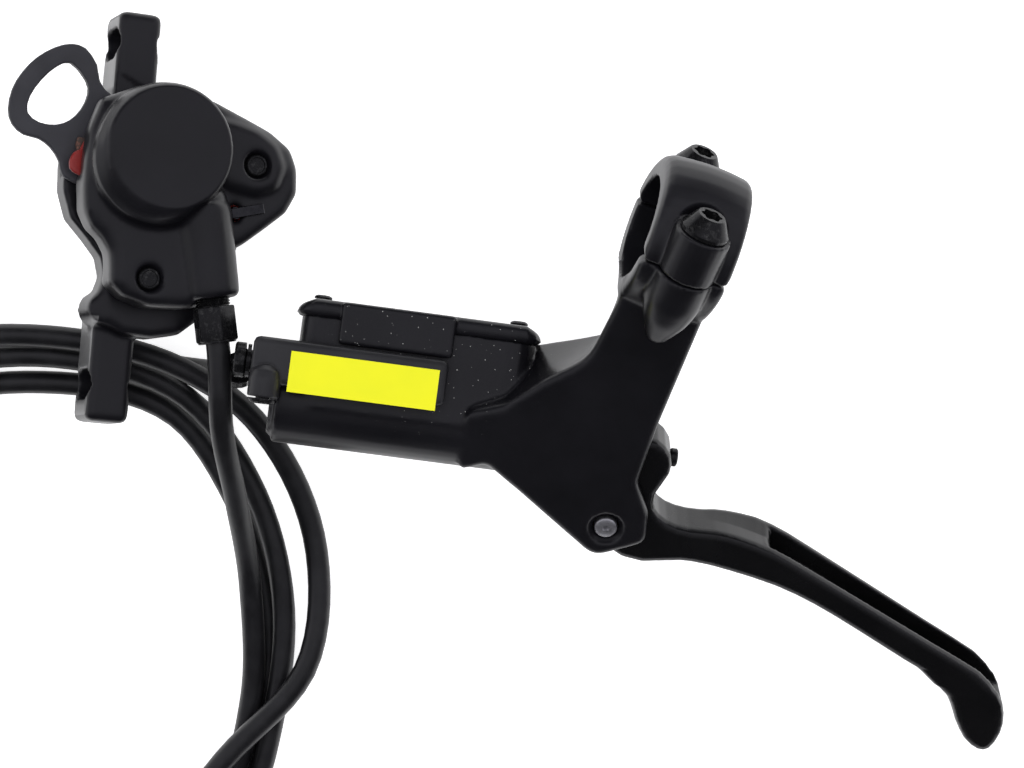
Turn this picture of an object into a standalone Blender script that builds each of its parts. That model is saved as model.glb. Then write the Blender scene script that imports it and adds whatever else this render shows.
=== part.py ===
"""Hydraulic disc brake for a bicycle: lever, hose and caliper, as they lie on a bench.

Every size is in millimetres; only the helpers that make objects turn them into metres.
The lever assembly and the caliper are each modelled square in a frame of their own, an
empty, and the two empties are tilted into the pose in which the brake comes to rest.

Lever frame: X along the master cylinder towards the lever, Y towards the handlebar clamp,
Z along the lever's pivot pin, with the origin on the pin.
Reservoir frame: the lever frame turned about the cylinder, so that Y is square to the cap.
Clamp frame: X along the handlebar, Y along the clamp bolts.
Caliper frame: Z along the pistons, Y along the line of the two mounting slots, with the
origin where the pistons' axis meets the middle plane of the rotor.
"""

import math

import bmesh
import bpy
from mathutils import Matrix, Vector

MM = 0.001
GAP = 0.3                        # clearance that seated pieces keep from each other

# Pose on the bench
BENCH_SHIFT = (-2.2, -1.3)        # moves the pose below to the middle of the bench
LEVER_PLACE = (20.2, -22.5, 25.5)
LEVER_TURN = 8.64                # cylinder's slope in the lever plane, degrees
LEVER_TILT = 20.0                # lever plane's tilt about the bench's X axis, degrees
CALIPER_PLACE = (-77.6, 53.7, 23.7)
CALIPER_TURN = -4.6              # mounting line's turn on the bench, degrees
CALIPER_SLOPE = -13.5            # mounting line's slope down to the bench, degrees
CALIPER_ROLL = 19.6              # turn about the mounting line, degrees

# Handlebar clamp
CLAMP_CENTRE = (5.0, 66.6)       # on the handlebar's axis, in the lever frame
CLAMP_TURN = 12.5                # handlebar's angle to the cylinder, degrees
CLAMP_BORE = 11.1                # radius, for a 22.2 mm handlebar
CLAMP_WALL = 4.3
CLAMP_WIDTH = 19.0
CLAMP_LUG = 6.0                  # radius of the bosses round the two bolts
CLAMP_BOLT = 2.5                 # radius, M5
CLAMP_BOLT_SPREAD = 14.7         # bolt axis to handlebar axis
CLAMP_BOLT_SEAT = 10.0           # seat's height above the handlebar's axis
CLAMP_BOLT_REACH = 11.0          # thread below the handlebar's axis
CLAMP_HEAD = 4.9                 # radius of the bolt head's foot
CLAMP_HEAD_TOP = 3.4
CLAMP_HEAD_TALL = 4.8
CLAMP_SOCKET = 2.3
CLAMP_POCKET = 6.3               # radius of the pocket round the bolt head

# Lever body
BARREL_RISE = 16.5               # cylinder's axis above the pivot pin
BARREL_RADIUS = 9.5
BARREL_END = -74.0
CYLINDER_BORE = 5.5
CYLINDER_BOTTOM = -69.0
ARM_HALF = 9.5                   # half the arm's thickness
ARM_EDGE = 2.4                   # rounding of the arm's edges
SLOT_HALF = 5.9                  # half the width of the lever's slot
SLOT_BACK = -8.2
SLOT_TOP = 24.2
RESERVOIR_TURN = 30.0            # cap's lean about the cylinder, degrees
RESERVOIR_LEFT = -70.5
RESERVOIR_RIGHT = -20.8
RESERVOIR_FRONT = 9.8
RESERVOIR_BACK = -13.0
RESERVOIR_TOP = 18.6
RESERVOIR_WALL = 3.0
RESERVOIR_FLOOR = 10.5
PORT_RISE = 7.0                  # hose port's axis above the cylinder's, in the reservoir frame
PORT_DEPTH = 3.5
PORT_RADIUS = 5.0
PORT_END = -80.0

# Reservoir cap
DIAPHRAGM_FLANGE = 0.6
CAP_THICK = 2.1
CAP_OVERHANG = 1.3
CAP_LIP = 0.6                    # how far the cap's lip reaches down over the reservoir
CAP_SCREW_LEFT = -66.6
CAP_SCREW_RIGHT = -24.2
CAP_SCREW = 1.2
CAP_SCREW_HEAD = 1.9
SKIRT_LEFT = -62.5
SKIRT_RIGHT = -38.3
SKIRT_FRONT = 12.2
SKIRT_FOOT = 12.9

# Brake light switch housing
SWITCH_LEFT = -80.0
SWITCH_RIGHT = -38.8
SWITCH_FOOT = 2.7
SWITCH_TOP = 12.5
SWITCH_FRONT = 14.4
SWITCH_BOSS = 3.4
SWITCH_BOSS_AT = -76.7
SWITCH_BOSS_TOP = 7.0
SWITCH_BOSS_FOOT = -0.2
SWITCH_SCREW = 1.5

# Master cylinder parts
PISTON_LEFT = -36.0
PISTON_RIGHT = -12.4
PISTON_GROOVE = 1.6
CUP_WIDTH = 2.2
SPRING_WIRE = 0.7
SPRING_TURNS = 6
ROD_RADIUS = 1.6
ROD_RIGHT = 0.1

# Lever blade
PIN_RADIUS = 2.5
PIN_RECESS = 3.8
BUSH_WALL = 1.1
BLADE_HALF = 5.6
BLADE_EDGE = 1.6
CHANNEL_HALF = 3.3               # half the width of the channel along the blade
CHANNEL_DEPTH = 4.6
ADJUSTER_RISE = 14.5             # reach screw's axis above the pivot pin
ADJUSTER_RADIUS = 2.0
ADJUSTER_LEFT = 0.5
ADJUSTER_RIGHT = 13.4

# Caliper
CALIPER_DISC = 14.0              # radius of the round piston housing
CALIPER_HALF = 17.0              # from the rotor plane to the housing's end
CALIPER_SHOULDER = 10.5
CALIPER_LOBE = 5.9
CALIPER_EAR = 7.6                # top of the raised ear round the upper body bolt
CALIPER_BORE = 11.0
BORE_END = 14.8
ROTOR_SLOT_HALF = 1.65
ROTOR_CENTRE = (-64.0, 32.6)
ROTOR_SWEEP = 82.0               # radius of the room left for the rotor
BODY_BOLTS = ((21.9, 0.0), (-0.2, -27.0))
BODY_BOLT = 2.35
BODY_BOLT_HEAD = 4.1
PORT_FOOT = (14.6, -32.0, 8.5)   # where the caliper's hose port ends
PORT_LEAN = 12.0                 # hose port's lean from the mounting line, degrees
PORT_BOSS = 5.4
PORT_BOSS_FOOT = -2.6            # end of the port's boss, along the port
MOUNT_FACE = -8.0                # plane of the two mounting faces
MOUNT_MIDDLE = -12.3             # middle of the mounting slots, along the caliper
MOUNT_SPACING = 74.2             # post mount standard
MOUNT_THICK = 9.5
MOUNT_LENGTH = 16.0
MOUNT_FRONT = -4.6
MOUNT_BACK = -18.0
MOUNT_SLOT = 3.3                 # half the slot's width
MOUNT_SLOT_LONG = 12.0           # slot's length, end to end

# Pads and pistons
PAD_TURN = -26.6                 # direction from the rotor's centre through the pads, degrees
PAD_FACE = 1.45                  # lining's face from the rotor plane
LINING_THICK = 1.55
PLATE_THICK = 1.4
PAD_PIN_AT = (21.1, -1.4)        # pad pin, in the pad frame
PAD_PIN = 1.3
CALIPER_PISTON_LONG = 9.0
SPACER_THICK = 2.0

# Hose and its fittings
HOSE = 2.75                      # radius of the hose
NUT_SHANK = 3.8                  # radius of the nut's thread
NUT_HEX = 4.7                    # from the nut's axis to its corners
NUT_START = -0.6                 # near end of the nut's hexagon, along the port
NUT_LONG = 7.2                   # far end of the nut's hexagon
OLIVE_LONG = 2.0
ELBOW_RADIUS = 3.8
ELBOW_THICK = 2.4
ELBOW_STEM = 1.4
ELBOW_THREAD = 2.4
ELBOW_TURN = -14.0               # stem's turn about the port, degrees
FERRULE_START = 7.2              # from the port's axis
FERRULE_LONG = 4.5
FERRULE_WALL = 0.5
WASHER_THICK = 0.8
HOSE_POINTS = 88                 # points along the hose
HOSE_ROUTE = [                   # hand-laid coil, from the caliper to the lever
    (-64.21, 28.14, 33.2), (-63.35, 20.98, 34.37), (-62.42, 13.21, 35.65), (-62.2, -3, 34.4), (-60.2, -21, 25),
    (-58.5, -44.5, 11), (-59, -71, 8), (-67.5, -96.5, 8), (-90, -111, 5.8), (-116.5, -110.5, 3.6),
    (-140, -98, 3.1), (-155, -75, 3.1), (-160, -48.5, 3.1), (-152.5, -23, 3.1), (-133.5, -4, 3.1),
    (-107, 1, 3.1), (-74.6, -7.3, 3.1), (-63, -24.5, 3.1), (-55.5, -50.5, 3.1), (-57.5, -77.5, 3.1),
    (-67.5, -102, 3.1), (-90, -117, 3.1), (-116.5, -117.5, 3.1), (-141, -106, 3.1), (-157.5, -84.5, 3.1),
    (-165.5, -59, 3.1), (-163, -32.5, 3.1), (-149, -9, 4), (-126.5, 5, 7), (-100, 7.5, 8.2),
    (-72.6, -1.4, 8.2), (-58, -22, 7.6), (-51.5, -48, 7.6), (-54, -75, 7.6), (-62.5, -100.5, 7.8),
    (-82, -119, 7), (-109, -124.5, 4.6), (-135, -117.5, 3.1), (-155.5, -100, 3.1), (-168.5, -76, 3.1),
    (-172.5, -49.5, 3.1), (-166, -23.5, 3.4), (-150, -1.5, 6), (-126.5, 11, 10.2), (-100, 12.5, 11.8),
    (-72.8, 5.7, 12.8), (-59.3, -3.3, 12.4), (-53.5, -11, 10), (-44, -36, 7.2), (-46, -62, 12),
    (-64, -82.5, 14.2), (-81.5, -103, 14.4), (-105, -116, 13.6), (-131.5, -118.5, 10.8), (-156, -108.5, 6.6),
    (-172.5, -87.5, 3.4), (-179, -61, 3.1), (-176.5, -34.5, 3.1), (-165.5, -9.5, 3.1), (-145.5, 8.5, 3.1),
    (-119, 11, 3.1), (-92, 8.5, 3.1), (-76, 4.6, 3.1), (-66.6, 4.1, 7.5), (-61.4, 4.6, 16.6),
    (-59.15, 6.8, 25.9), (-58.68, 8.55, 29.87),
]

BLACK_PAINT = ((0.012, 0.012, 0.014), 0.45, 0.0)
BLACK_PLASTIC = ((0.02, 0.02, 0.022), 0.5, 0.0)
BLACK_STEEL = ((0.03, 0.03, 0.032), 0.35, 0.9)
BRIGHT_STEEL = ((0.62, 0.62, 0.62), 0.3, 1.0)
ALUMINIUM = ((0.75, 0.75, 0.76), 0.35, 1.0)
BRASS = ((0.72, 0.52, 0.22), 0.35, 1.0)
RUBBER = ((0.015, 0.015, 0.015), 0.7, 0.0)
RED_PAINT = ((0.45, 0.02, 0.015), 0.45, 0.0)
LINING = ((0.22, 0.05, 0.035), 0.85, 0.1)


def about(axis, degrees):
    """Rotation about an axis."""
    return Matrix.Rotation(math.radians(degrees), 4, axis)


NO_TURN = Matrix.Identity(4)
ALONG_X = about("Y", 90)
ACROSS_CLAMP = about("Y", -90)
ALONG_Y = about("X", -90)
ALONG_MINUS_Y = about("X", 90)


# Scene and materials

def clear_scene():
    """Remove whatever the file holds."""
    for item in list(bpy.data.objects):
        bpy.data.objects.remove(item, do_unlink=True)


def collection(name):
    """Make a collection under the scene."""
    group = bpy.data.collections.new(name)
    bpy.context.scene.collection.children.link(group)
    return group


def material(name, finish):
    """Make a material from its colour, roughness and metallic value."""
    colour, roughness, metallic = finish
    made = bpy.data.materials.new(name)
    made.use_nodes = True
    shader = made.node_tree.nodes["Principled BSDF"]
    shader.inputs["Base Color"].default_value = (*colour, 1.0)
    shader.inputs["Roughness"].default_value = roughness
    shader.inputs["Metallic"].default_value = metallic
    return made


clear_scene()
PARTS = collection("hydraulic_disc_brake")
CUTTERS = collection("cutters")


def frame(name, parent=None, at=(0, 0, 0), turn=NO_TURN):
    """Make an empty that carries an assembly."""
    empty = bpy.data.objects.new(name, None)
    PARTS.objects.link(empty)
    empty.parent = parent
    empty.matrix_local = Matrix.Translation(Vector(at) * MM) @ turn
    return empty


# Shapes, in millimetres

def arc(centre, radius, start, stop, steps):
    """Points along an arc, with the angles in degrees."""
    points = []
    for step in range(steps + 1):
        angle = math.radians(start + (stop - start) * step / steps)
        points.append((centre[0] + radius * math.cos(angle), centre[1] + radius * math.sin(angle)))
    return points


def rounded(corners, steps=3):
    """Outline through corners (x, y, radius), each rounded by its radius."""
    outline = []
    count = len(corners)
    for index, (x, y, radius) in enumerate(corners):
        here = Vector((x, y))
        before = Vector(corners[index - 1][:2]) - here
        after = Vector(corners[(index + 1) % count][:2]) - here
        if radius <= 0:
            outline.append((x, y))
            continue
        half = before.angle(after) / 2
        reach = min(radius / math.tan(half), before.length * 0.49, after.length * 0.49)
        first = here + before.normalized() * reach
        last = here + after.normalized() * reach
        for step in range(steps + 1):
            t = step / steps
            point = first * (1 - t) ** 2 + here * 2 * t * (1 - t) + last * t ** 2
            outline.append((point.x, point.y))
    return outline


def smooth_through(corners, steps=3):
    """Closed outline on a smooth curve through the given points."""
    outline = []
    count = len(corners)
    for index in range(count):
        p0, p1, p2, p3 = (Vector(corners[(index + k) % count]) for k in (-1, 0, 1, 2))
        for step in range(steps):
            t = step / steps
            point = 0.5 * (2 * p1 + (p2 - p0) * t + (2 * p0 - 5 * p1 + 4 * p2 - p3) * t * t
                           + (3 * p1 - p0 - 3 * p2 + p3) * t ** 3)
            outline.append((point.x, point.y))
    return outline


def prism(outline, low, high, edge=0.0, segments=2):
    """Flat outline extruded along Z, with its end rims rounded by edge."""
    shape = bmesh.new()
    base = shape.faces.new([shape.verts.new((x, y, low)) for x, y in outline])
    if base.normal.z > 0 or base.calc_area() == 0:
        base.normal_flip()
    grown = bmesh.ops.extrude_face_region(shape, geom=[base])
    top = [item for item in grown["geom"] if isinstance(item, bmesh.types.BMVert)]
    bmesh.ops.translate(shape, verts=top, vec=(0, 0, high - low))
    bmesh.ops.recalc_face_normals(shape, faces=shape.faces)
    if edge > 0:
        rims = [side for side in shape.edges
                if abs(side.verts[0].co.z - side.verts[1].co.z) < 1e-6]
        bmesh.ops.bevel(shape, geom=rims, offset=edge, segments=segments, profile=0.5,
                        affect="EDGES", clamp_overlap=True)
    return shape


def cylinder(radius, low, high, sides=24, top_radius=None):
    """Round bar, or a cone, along Z."""
    shape = bmesh.new()
    end = radius if top_radius is None else top_radius
    bmesh.ops.create_cone(shape, cap_ends=True, segments=sides, radius1=radius, radius2=end,
                          depth=high - low)
    bmesh.ops.translate(shape, verts=shape.verts, vec=(0, 0, (low + high) / 2))
    return shape


def turned(profile, sides=24):
    """Solid turned about Z from a profile of (radius, z) points."""
    shape = bmesh.new()
    points = [shape.verts.new((radius, 0, z)) for radius, z in profile]
    ring = zip(points, points[1:] + points[:1])
    edges = [shape.edges.new(pair) for pair in ring if max(pair[0].co.x, pair[1].co.x) > 1e-6]
    bmesh.ops.spin(shape, geom=points + edges, cent=(0, 0, 0), axis=(0, 0, 1),
                   angle=math.radians(360), steps=sides, use_merge=True)
    bmesh.ops.remove_doubles(shape, verts=shape.verts, dist=1e-5)
    bmesh.ops.recalc_face_normals(shape, faces=shape.faces)
    return shape


def box(low, high, edge=0.0, segments=2):
    """Block between two corners, with every edge rounded by edge."""
    shape = bmesh.new()
    bmesh.ops.create_cube(shape, size=1.0)
    low, high = Vector(low), Vector(high)
    bmesh.ops.scale(shape, verts=shape.verts, vec=high - low)
    bmesh.ops.translate(shape, verts=shape.verts, vec=(low + high) / 2)
    if edge > 0:
        bmesh.ops.bevel(shape, geom=shape.edges, offset=edge, segments=segments, profile=0.5,
                        affect="EDGES", clamp_overlap=True)
    return shape


def tube(outer, inner, low, high, sides=24):
    """Ring or sleeve along Z."""
    return turned([(inner, low), (outer, low), (outer, high), (inner, high)], sides)


def moved(shape, by):
    """Shift a shape."""
    bmesh.ops.translate(shape, verts=shape.verts, vec=by)
    return shape


def swung(shape, turn):
    """Turn a shape about the origin."""
    bmesh.ops.transform(shape, matrix=turn, verts=shape.verts)
    return shape


# Objects

def place(name, shape, carrier, at, turn, group):
    """Make an object of a shape, in metres, on the frame that carries it."""
    bmesh.ops.scale(shape, verts=shape.verts, vec=(MM, MM, MM))
    mesh = bpy.data.meshes.new(name)
    shape.to_mesh(mesh)
    shape.free()
    thing = bpy.data.objects.new(name, mesh)
    group.objects.link(thing)
    thing.parent = carrier
    thing.matrix_local = Matrix.Translation(Vector(at) * MM) @ turn
    return thing


def part(name, shape, carrier, finish, at=(0, 0, 0), turn=NO_TURN):
    """Make a sub-part with its own material."""
    thing = place(name, shape, carrier, at, turn, PARTS)
    thing.data.materials.append(material(name, finish))
    thing.data.shade_smooth()
    thing.data.set_sharp_from_angle(angle=math.radians(35))
    return thing


def tool(name, shape, carrier, at=(0, 0, 0), turn=NO_TURN):
    """Make a shape that only cuts or joins another."""
    thing = place(name, shape, carrier, at, turn, CUTTERS)
    thing.hide_render = True
    thing.display_type = "WIRE"
    return thing


def combine(target, other, operation):
    """Join a tool to a part, or cut it away."""
    step = target.modifiers.new(other.name, "BOOLEAN")
    step.operation = operation
    step.solver = "EXACT"
    step.object = other


def join(target, name, shape, carrier, at=(0, 0, 0), turn=NO_TURN):
    """Add a shape to a part."""
    combine(target, tool(name, shape, carrier, at, turn), "UNION")


def cut(target, name, shape, carrier, at=(0, 0, 0), turn=NO_TURN):
    """Take a shape out of a part."""
    combine(target, tool(name, shape, carrier, at, turn), "DIFFERENCE")


# Frames

BENCH = frame("bench", None, (*BENCH_SHIFT, 0))
LEVER = frame("lever_frame", BENCH, LEVER_PLACE, about("X", LEVER_TILT) @ about("Z", -LEVER_TURN))
RESERVOIR = frame("reservoir_frame", LEVER, (0, BARREL_RISE, 0), about("X", -RESERVOIR_TURN))
CLAMP = frame("clamp_frame", LEVER, (*CLAMP_CENTRE, 0), about("Z", -CLAMP_TURN))
CALIPER = frame("caliper_frame", BENCH, CALIPER_PLACE,
                about("Z", CALIPER_TURN) @ about("X", CALIPER_SLOPE) @ about("Y", CALIPER_ROLL))
PADS = frame("pad_frame", CALIPER, (0, 0, 0), about("Z", PAD_TURN))


# Lever body

ARM_OUTLINE = [(-34, 9, 2), (-28, 12, 2), (-20, 6.2, 2), (-1.5, -7.8, 4.5), (9.3, -2.6, 3),
               (8.6, 4.2, 2), (4.9, 12, 3), (6.8, 27, 12), (11.9, 55, 8), (14.2, 66, 2),
               (-6.2, 66, 2), (-6.6, 55, 10), (-10.5, 40.5, 10), (-18.9, 34, 2), (-26, 27, 4), (-34, 24, 3)]
SLOT_OUTLINE = [(SLOT_BACK, -20, 0), (30, -20, 0), (30, SLOT_TOP, 0), (SLOT_BACK, SLOT_TOP, 3)]


def clamp_band(low, high):
    """Half of the clamp's band, seen along the handlebar, between two angles."""
    outer = CLAMP_BORE + CLAMP_WALL
    shape = prism(arc((0, 0), outer, low, high, 20), -CLAMP_WIDTH / 2, CLAMP_WIDTH / 2, 1.6)
    return shape


def lever_body():
    """The casting: cylinder, reservoir, arm and the fixed half of the clamp."""
    body = part("lever_body", prism(rounded(ARM_OUTLINE), -ARM_HALF, ARM_HALF, ARM_EDGE), LEVER,
                BLACK_PAINT)
    barrel = cylinder(BARREL_RADIUS, BARREL_END, -14, 32)
    join(body, "barrel", barrel, RESERVOIR, turn=ALONG_X)
    join(body, "barrel_end", cylinder(BARREL_RADIUS - 1.5, BARREL_END - 1.2, BARREL_END + 0.2, 32),
         RESERVOIR, turn=ALONG_X)
    join(body, "reservoir_block", reservoir_block(-1.0, RESERVOIR_TOP, 0.0), RESERVOIR,
         turn=ALONG_Y)
    join(body, "hose_port", cylinder(PORT_RADIUS, PORT_END, BARREL_END + 8, 24), RESERVOIR,
         (0, PORT_RISE, PORT_DEPTH), ALONG_X)
    join(body, "saddle", clamp_band(180, 360), CLAMP, turn=ACROSS_CLAMP)
    for side in (-1, 1):
        lug = turned([(0, -16.8), (2.2, -16.2), (CLAMP_LUG - 1, -11), (CLAMP_LUG, -7),
                      (CLAMP_LUG, -GAP / 2), (0, -GAP / 2)], 24)
        join(body, "saddle_lug", lug, CLAMP, (0, 0, side * CLAMP_BOLT_SPREAD), ALONG_Y)
    cut(body, "handlebar", cylinder(CLAMP_BORE, -30, 30, 40), CLAMP, turn=ALONG_X)
    cut(body, "split", box((-20, -GAP / 2, -30), (20, 20, 30)), CLAMP)
    for side in (-1, 1):
        cut(body, "clamp_thread", cylinder(CLAMP_BOLT + GAP, -CLAMP_BOLT_REACH - 1, 5, 16), CLAMP,
            (0, 0, side * CLAMP_BOLT_SPREAD), ALONG_Y)
    cut(body, "lever_slot", prism(rounded(SLOT_OUTLINE), -SLOT_HALF, SLOT_HALF), LEVER)
    cut(body, "cylinder_bore", cylinder(CYLINDER_BORE, CYLINDER_BOTTOM, 0, 24), RESERVOIR,
        turn=ALONG_X)
    cut(body, "pin_hole", cylinder(PIN_RADIUS + GAP, -20, 20, 20), LEVER)
    cut(body, "pin_recess", cylinder(PIN_RECESS, ARM_HALF - 1.2, 20, 24), LEVER)
    cut(body, "reservoir_room", reservoir_room(), RESERVOIR, turn=ALONG_Y)
    for x in (CAP_SCREW_LEFT, CAP_SCREW_RIGHT):
        cut(body, "cap_thread", cylinder(CAP_SCREW + GAP, RESERVOIR_TOP - 7, RESERVOIR_TOP + 3, 12),
            RESERVOIR, (x, 0, (RESERVOIR_FRONT + RESERVOIR_BACK) / 2), ALONG_Y)
    cut(body, "port_bore", cylinder(ELBOW_THREAD + GAP, PORT_END - 3, PORT_END + 7.5, 20), RESERVOIR,
        (0, PORT_RISE, PORT_DEPTH), ALONG_X)
    return body


def reservoir_block(low, high, grow):
    """Rounded block of the reservoir; its own Z becomes the reservoir frame's Y."""
    left, right = RESERVOIR_LEFT - grow, RESERVOIR_RIGHT + grow
    back, front = RESERVOIR_BACK - grow, RESERVOIR_FRONT + grow
    outline = rounded([(left, -back, 5), (left, -front, 5), (right, -front, 6), (right, -back, 6)], 4)
    return prism(outline, low, high)


def reservoir_room():
    """The hollow that holds the fluid, clear of the two cap screws."""
    wall = RESERVOIR_WALL
    left, right = CAP_SCREW_LEFT + 3.4, CAP_SCREW_RIGHT - 3.4
    outline = rounded([(left, -RESERVOIR_BACK - wall, 4), (left, -RESERVOIR_FRONT + wall, 4),
                       (right, -RESERVOIR_FRONT + wall, 4), (right, -RESERVOIR_BACK - wall, 4)], 3)
    return prism(outline, RESERVOIR_FLOOR, RESERVOIR_TOP + 5)


def reservoir_parts():
    """Diaphragm, cap and the cap's screws."""
    middle = (RESERVOIR_FRONT + RESERVOIR_BACK) / 2
    flange_foot = RESERVOIR_TOP + GAP
    cap_foot = flange_foot + DIAPHRAGM_FLANGE + GAP
    cap_top = cap_foot + CAP_THICK

    diaphragm = part("reservoir_diaphragm", reservoir_block(flange_foot, cap_foot - GAP, -0.6),
                     RESERVOIR, RUBBER, turn=ALONG_Y)
    bellows = [(x, y) for x, y in rounded([(-60, 9, 3), (-60, -5.5, 3), (-31, -5.5, 3), (-31, 9, 3)])]
    join(diaphragm, "bellows", prism(bellows, RESERVOIR_TOP - 5, flange_foot + 0.2, 0.8), RESERVOIR,
         turn=ALONG_Y)
    hollow = [(x, y) for x, y in rounded([(-59, 8, 2), (-59, -4.5, 2), (-32, -4.5, 2), (-32, 8, 2)])]
    cut(diaphragm, "bellows_room", prism(hollow, RESERVOIR_TOP - 4, cap_foot + 1), RESERVOIR,
        turn=ALONG_Y)

    cap = part("reservoir_cap", prism(cap_outline(), RESERVOIR_TOP - CAP_LIP, cap_top, 1.5, 3), RESERVOIR,
               BLACK_PAINT, turn=ALONG_Y)
    cut(cap, "cap_room", reservoir_block(RESERVOIR_TOP - CAP_LIP - 1, cap_foot, GAP), RESERVOIR, turn=ALONG_Y)
    skirt = box((SKIRT_LEFT, SKIRT_FOOT, RESERVOIR_FRONT + GAP), (SKIRT_RIGHT, cap_top, SKIRT_FRONT), 0.7)
    join(cap, "cap_skirt", skirt, RESERVOIR)

    for word, x in (("left", CAP_SCREW_LEFT), ("right", CAP_SCREW_RIGHT)):
        for thing in (diaphragm, cap):
            cut(thing, "screw_way", cylinder(CAP_SCREW + GAP, 0, 40, 12), RESERVOIR, (x, 0, middle),
                ALONG_Y)
        screw = turned([(0, cap_foot - 6), (CAP_SCREW, cap_foot - 5.6), (CAP_SCREW, cap_top + GAP),
                        (CAP_SCREW_HEAD, cap_top + GAP), (CAP_SCREW_HEAD, cap_top + 0.7),
                        (1.2, cap_top + 1.1), (0, cap_top + 1.1)], 16)
        part("cap_screw_" + word, screw, RESERVOIR, BLACK_STEEL, (x, 0, middle), ALONG_Y)


def cap_outline():
    """Outline of the cap, a little larger than the reservoir."""
    grow = CAP_OVERHANG
    left, right = RESERVOIR_LEFT - grow, RESERVOIR_RIGHT + grow
    back, front = RESERVOIR_BACK - grow, RESERVOIR_FRONT + grow
    return rounded([(left, -back, 5), (left, -front, 5), (right, -front, 6), (right, -back, 6)], 4)


def switch_housing():
    """Housing of the brake light switch, with the boss for its screw."""
    foot = RESERVOIR_FRONT + GAP
    housing = part("switch_housing",
                   box((SWITCH_LEFT, SWITCH_FOOT, foot), (SWITCH_RIGHT, SWITCH_TOP, SWITCH_FRONT), 1.3),
                   RESERVOIR, BLACK_PLASTIC)
    boss_depth = foot + SWITCH_BOSS
    boss = turned([(0, SWITCH_BOSS_FOOT), (SWITCH_BOSS, SWITCH_BOSS_FOOT), (SWITCH_BOSS, SWITCH_BOSS_TOP - 3.2),
                   (SWITCH_BOSS * 0.87, SWITCH_BOSS_TOP - 1.5), (SWITCH_BOSS * 0.5, SWITCH_BOSS_TOP - 0.3),
                   (0, SWITCH_BOSS_TOP)], 20)
    join(housing, "switch_boss", boss, RESERVOIR, (SWITCH_BOSS_AT, 0, boss_depth), ALONG_Y)
    cut(housing, "switch_thread",
        cylinder(SWITCH_SCREW + GAP, SWITCH_BOSS_FOOT - 2, SWITCH_FOOT + 2, 12),
        RESERVOIR, (SWITCH_BOSS_AT, 0, boss_depth), ALONG_Y)
    screw = turned([(0, SWITCH_BOSS_FOOT - 1.4), (1.3, SWITCH_BOSS_FOOT - 1.4),
                    (SWITCH_BOSS - 0.4, SWITCH_BOSS_FOOT - 1.0), (SWITCH_BOSS - 0.2, SWITCH_BOSS_FOOT - GAP),
                    (SWITCH_SCREW, SWITCH_BOSS_FOOT - GAP), (SWITCH_SCREW, SWITCH_FOOT + 1.5),
                    (0, SWITCH_FOOT + 1.7)], 20)
    part("switch_screw", screw, RESERVOIR, BLACK_STEEL, (SWITCH_BOSS_AT, 0, boss_depth), ALONG_Y)


def clamp_parts():
    """Removable half of the clamp and its two bolts."""
    cap = part("clamp_cap", clamp_band(0, 180), CLAMP, BLACK_PAINT, turn=ACROSS_CLAMP)
    for side in (-1, 1):
        lug = cylinder(CLAMP_LUG, GAP / 2, CLAMP_BOLT_SEAT, 24)
        join(cap, "cap_lug", lug, CLAMP, (0, 0, side * CLAMP_BOLT_SPREAD), ALONG_Y)
    cut(cap, "handlebar_top", cylinder(CLAMP_BORE, -30, 30, 40), CLAMP, turn=ALONG_X)
    cut(cap, "split_top", box((-20, -20, -30), (20, GAP / 2, 30)), CLAMP)
    for side, word in ((-1, "lower"), (1, "upper")):
        at = (0, 0, side * CLAMP_BOLT_SPREAD)
        cut(cap, "bolt_way", cylinder(CLAMP_BOLT + GAP, -5, 30, 16), CLAMP, at, ALONG_Y)
        cut(cap, "bolt_pocket", cylinder(CLAMP_POCKET, CLAMP_BOLT_SEAT, 40, 24), CLAMP, at, ALONG_Y)
        seat = CLAMP_BOLT_SEAT + GAP
        top = seat + CLAMP_HEAD_TALL
        bolt = turned([(0, -CLAMP_BOLT_REACH), (CLAMP_BOLT, -CLAMP_BOLT_REACH + 0.6),
                       (CLAMP_BOLT, seat), (CLAMP_HEAD, seat), (CLAMP_HEAD, seat + 1.1),
                       (CLAMP_HEAD_TOP, top), (CLAMP_SOCKET, top), (CLAMP_SOCKET, top - 2.6),
                       (0, top - 2.9)], 20)
        part("clamp_bolt_" + word, bolt, CLAMP, BLACK_STEEL, at, ALONG_Y)


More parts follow.
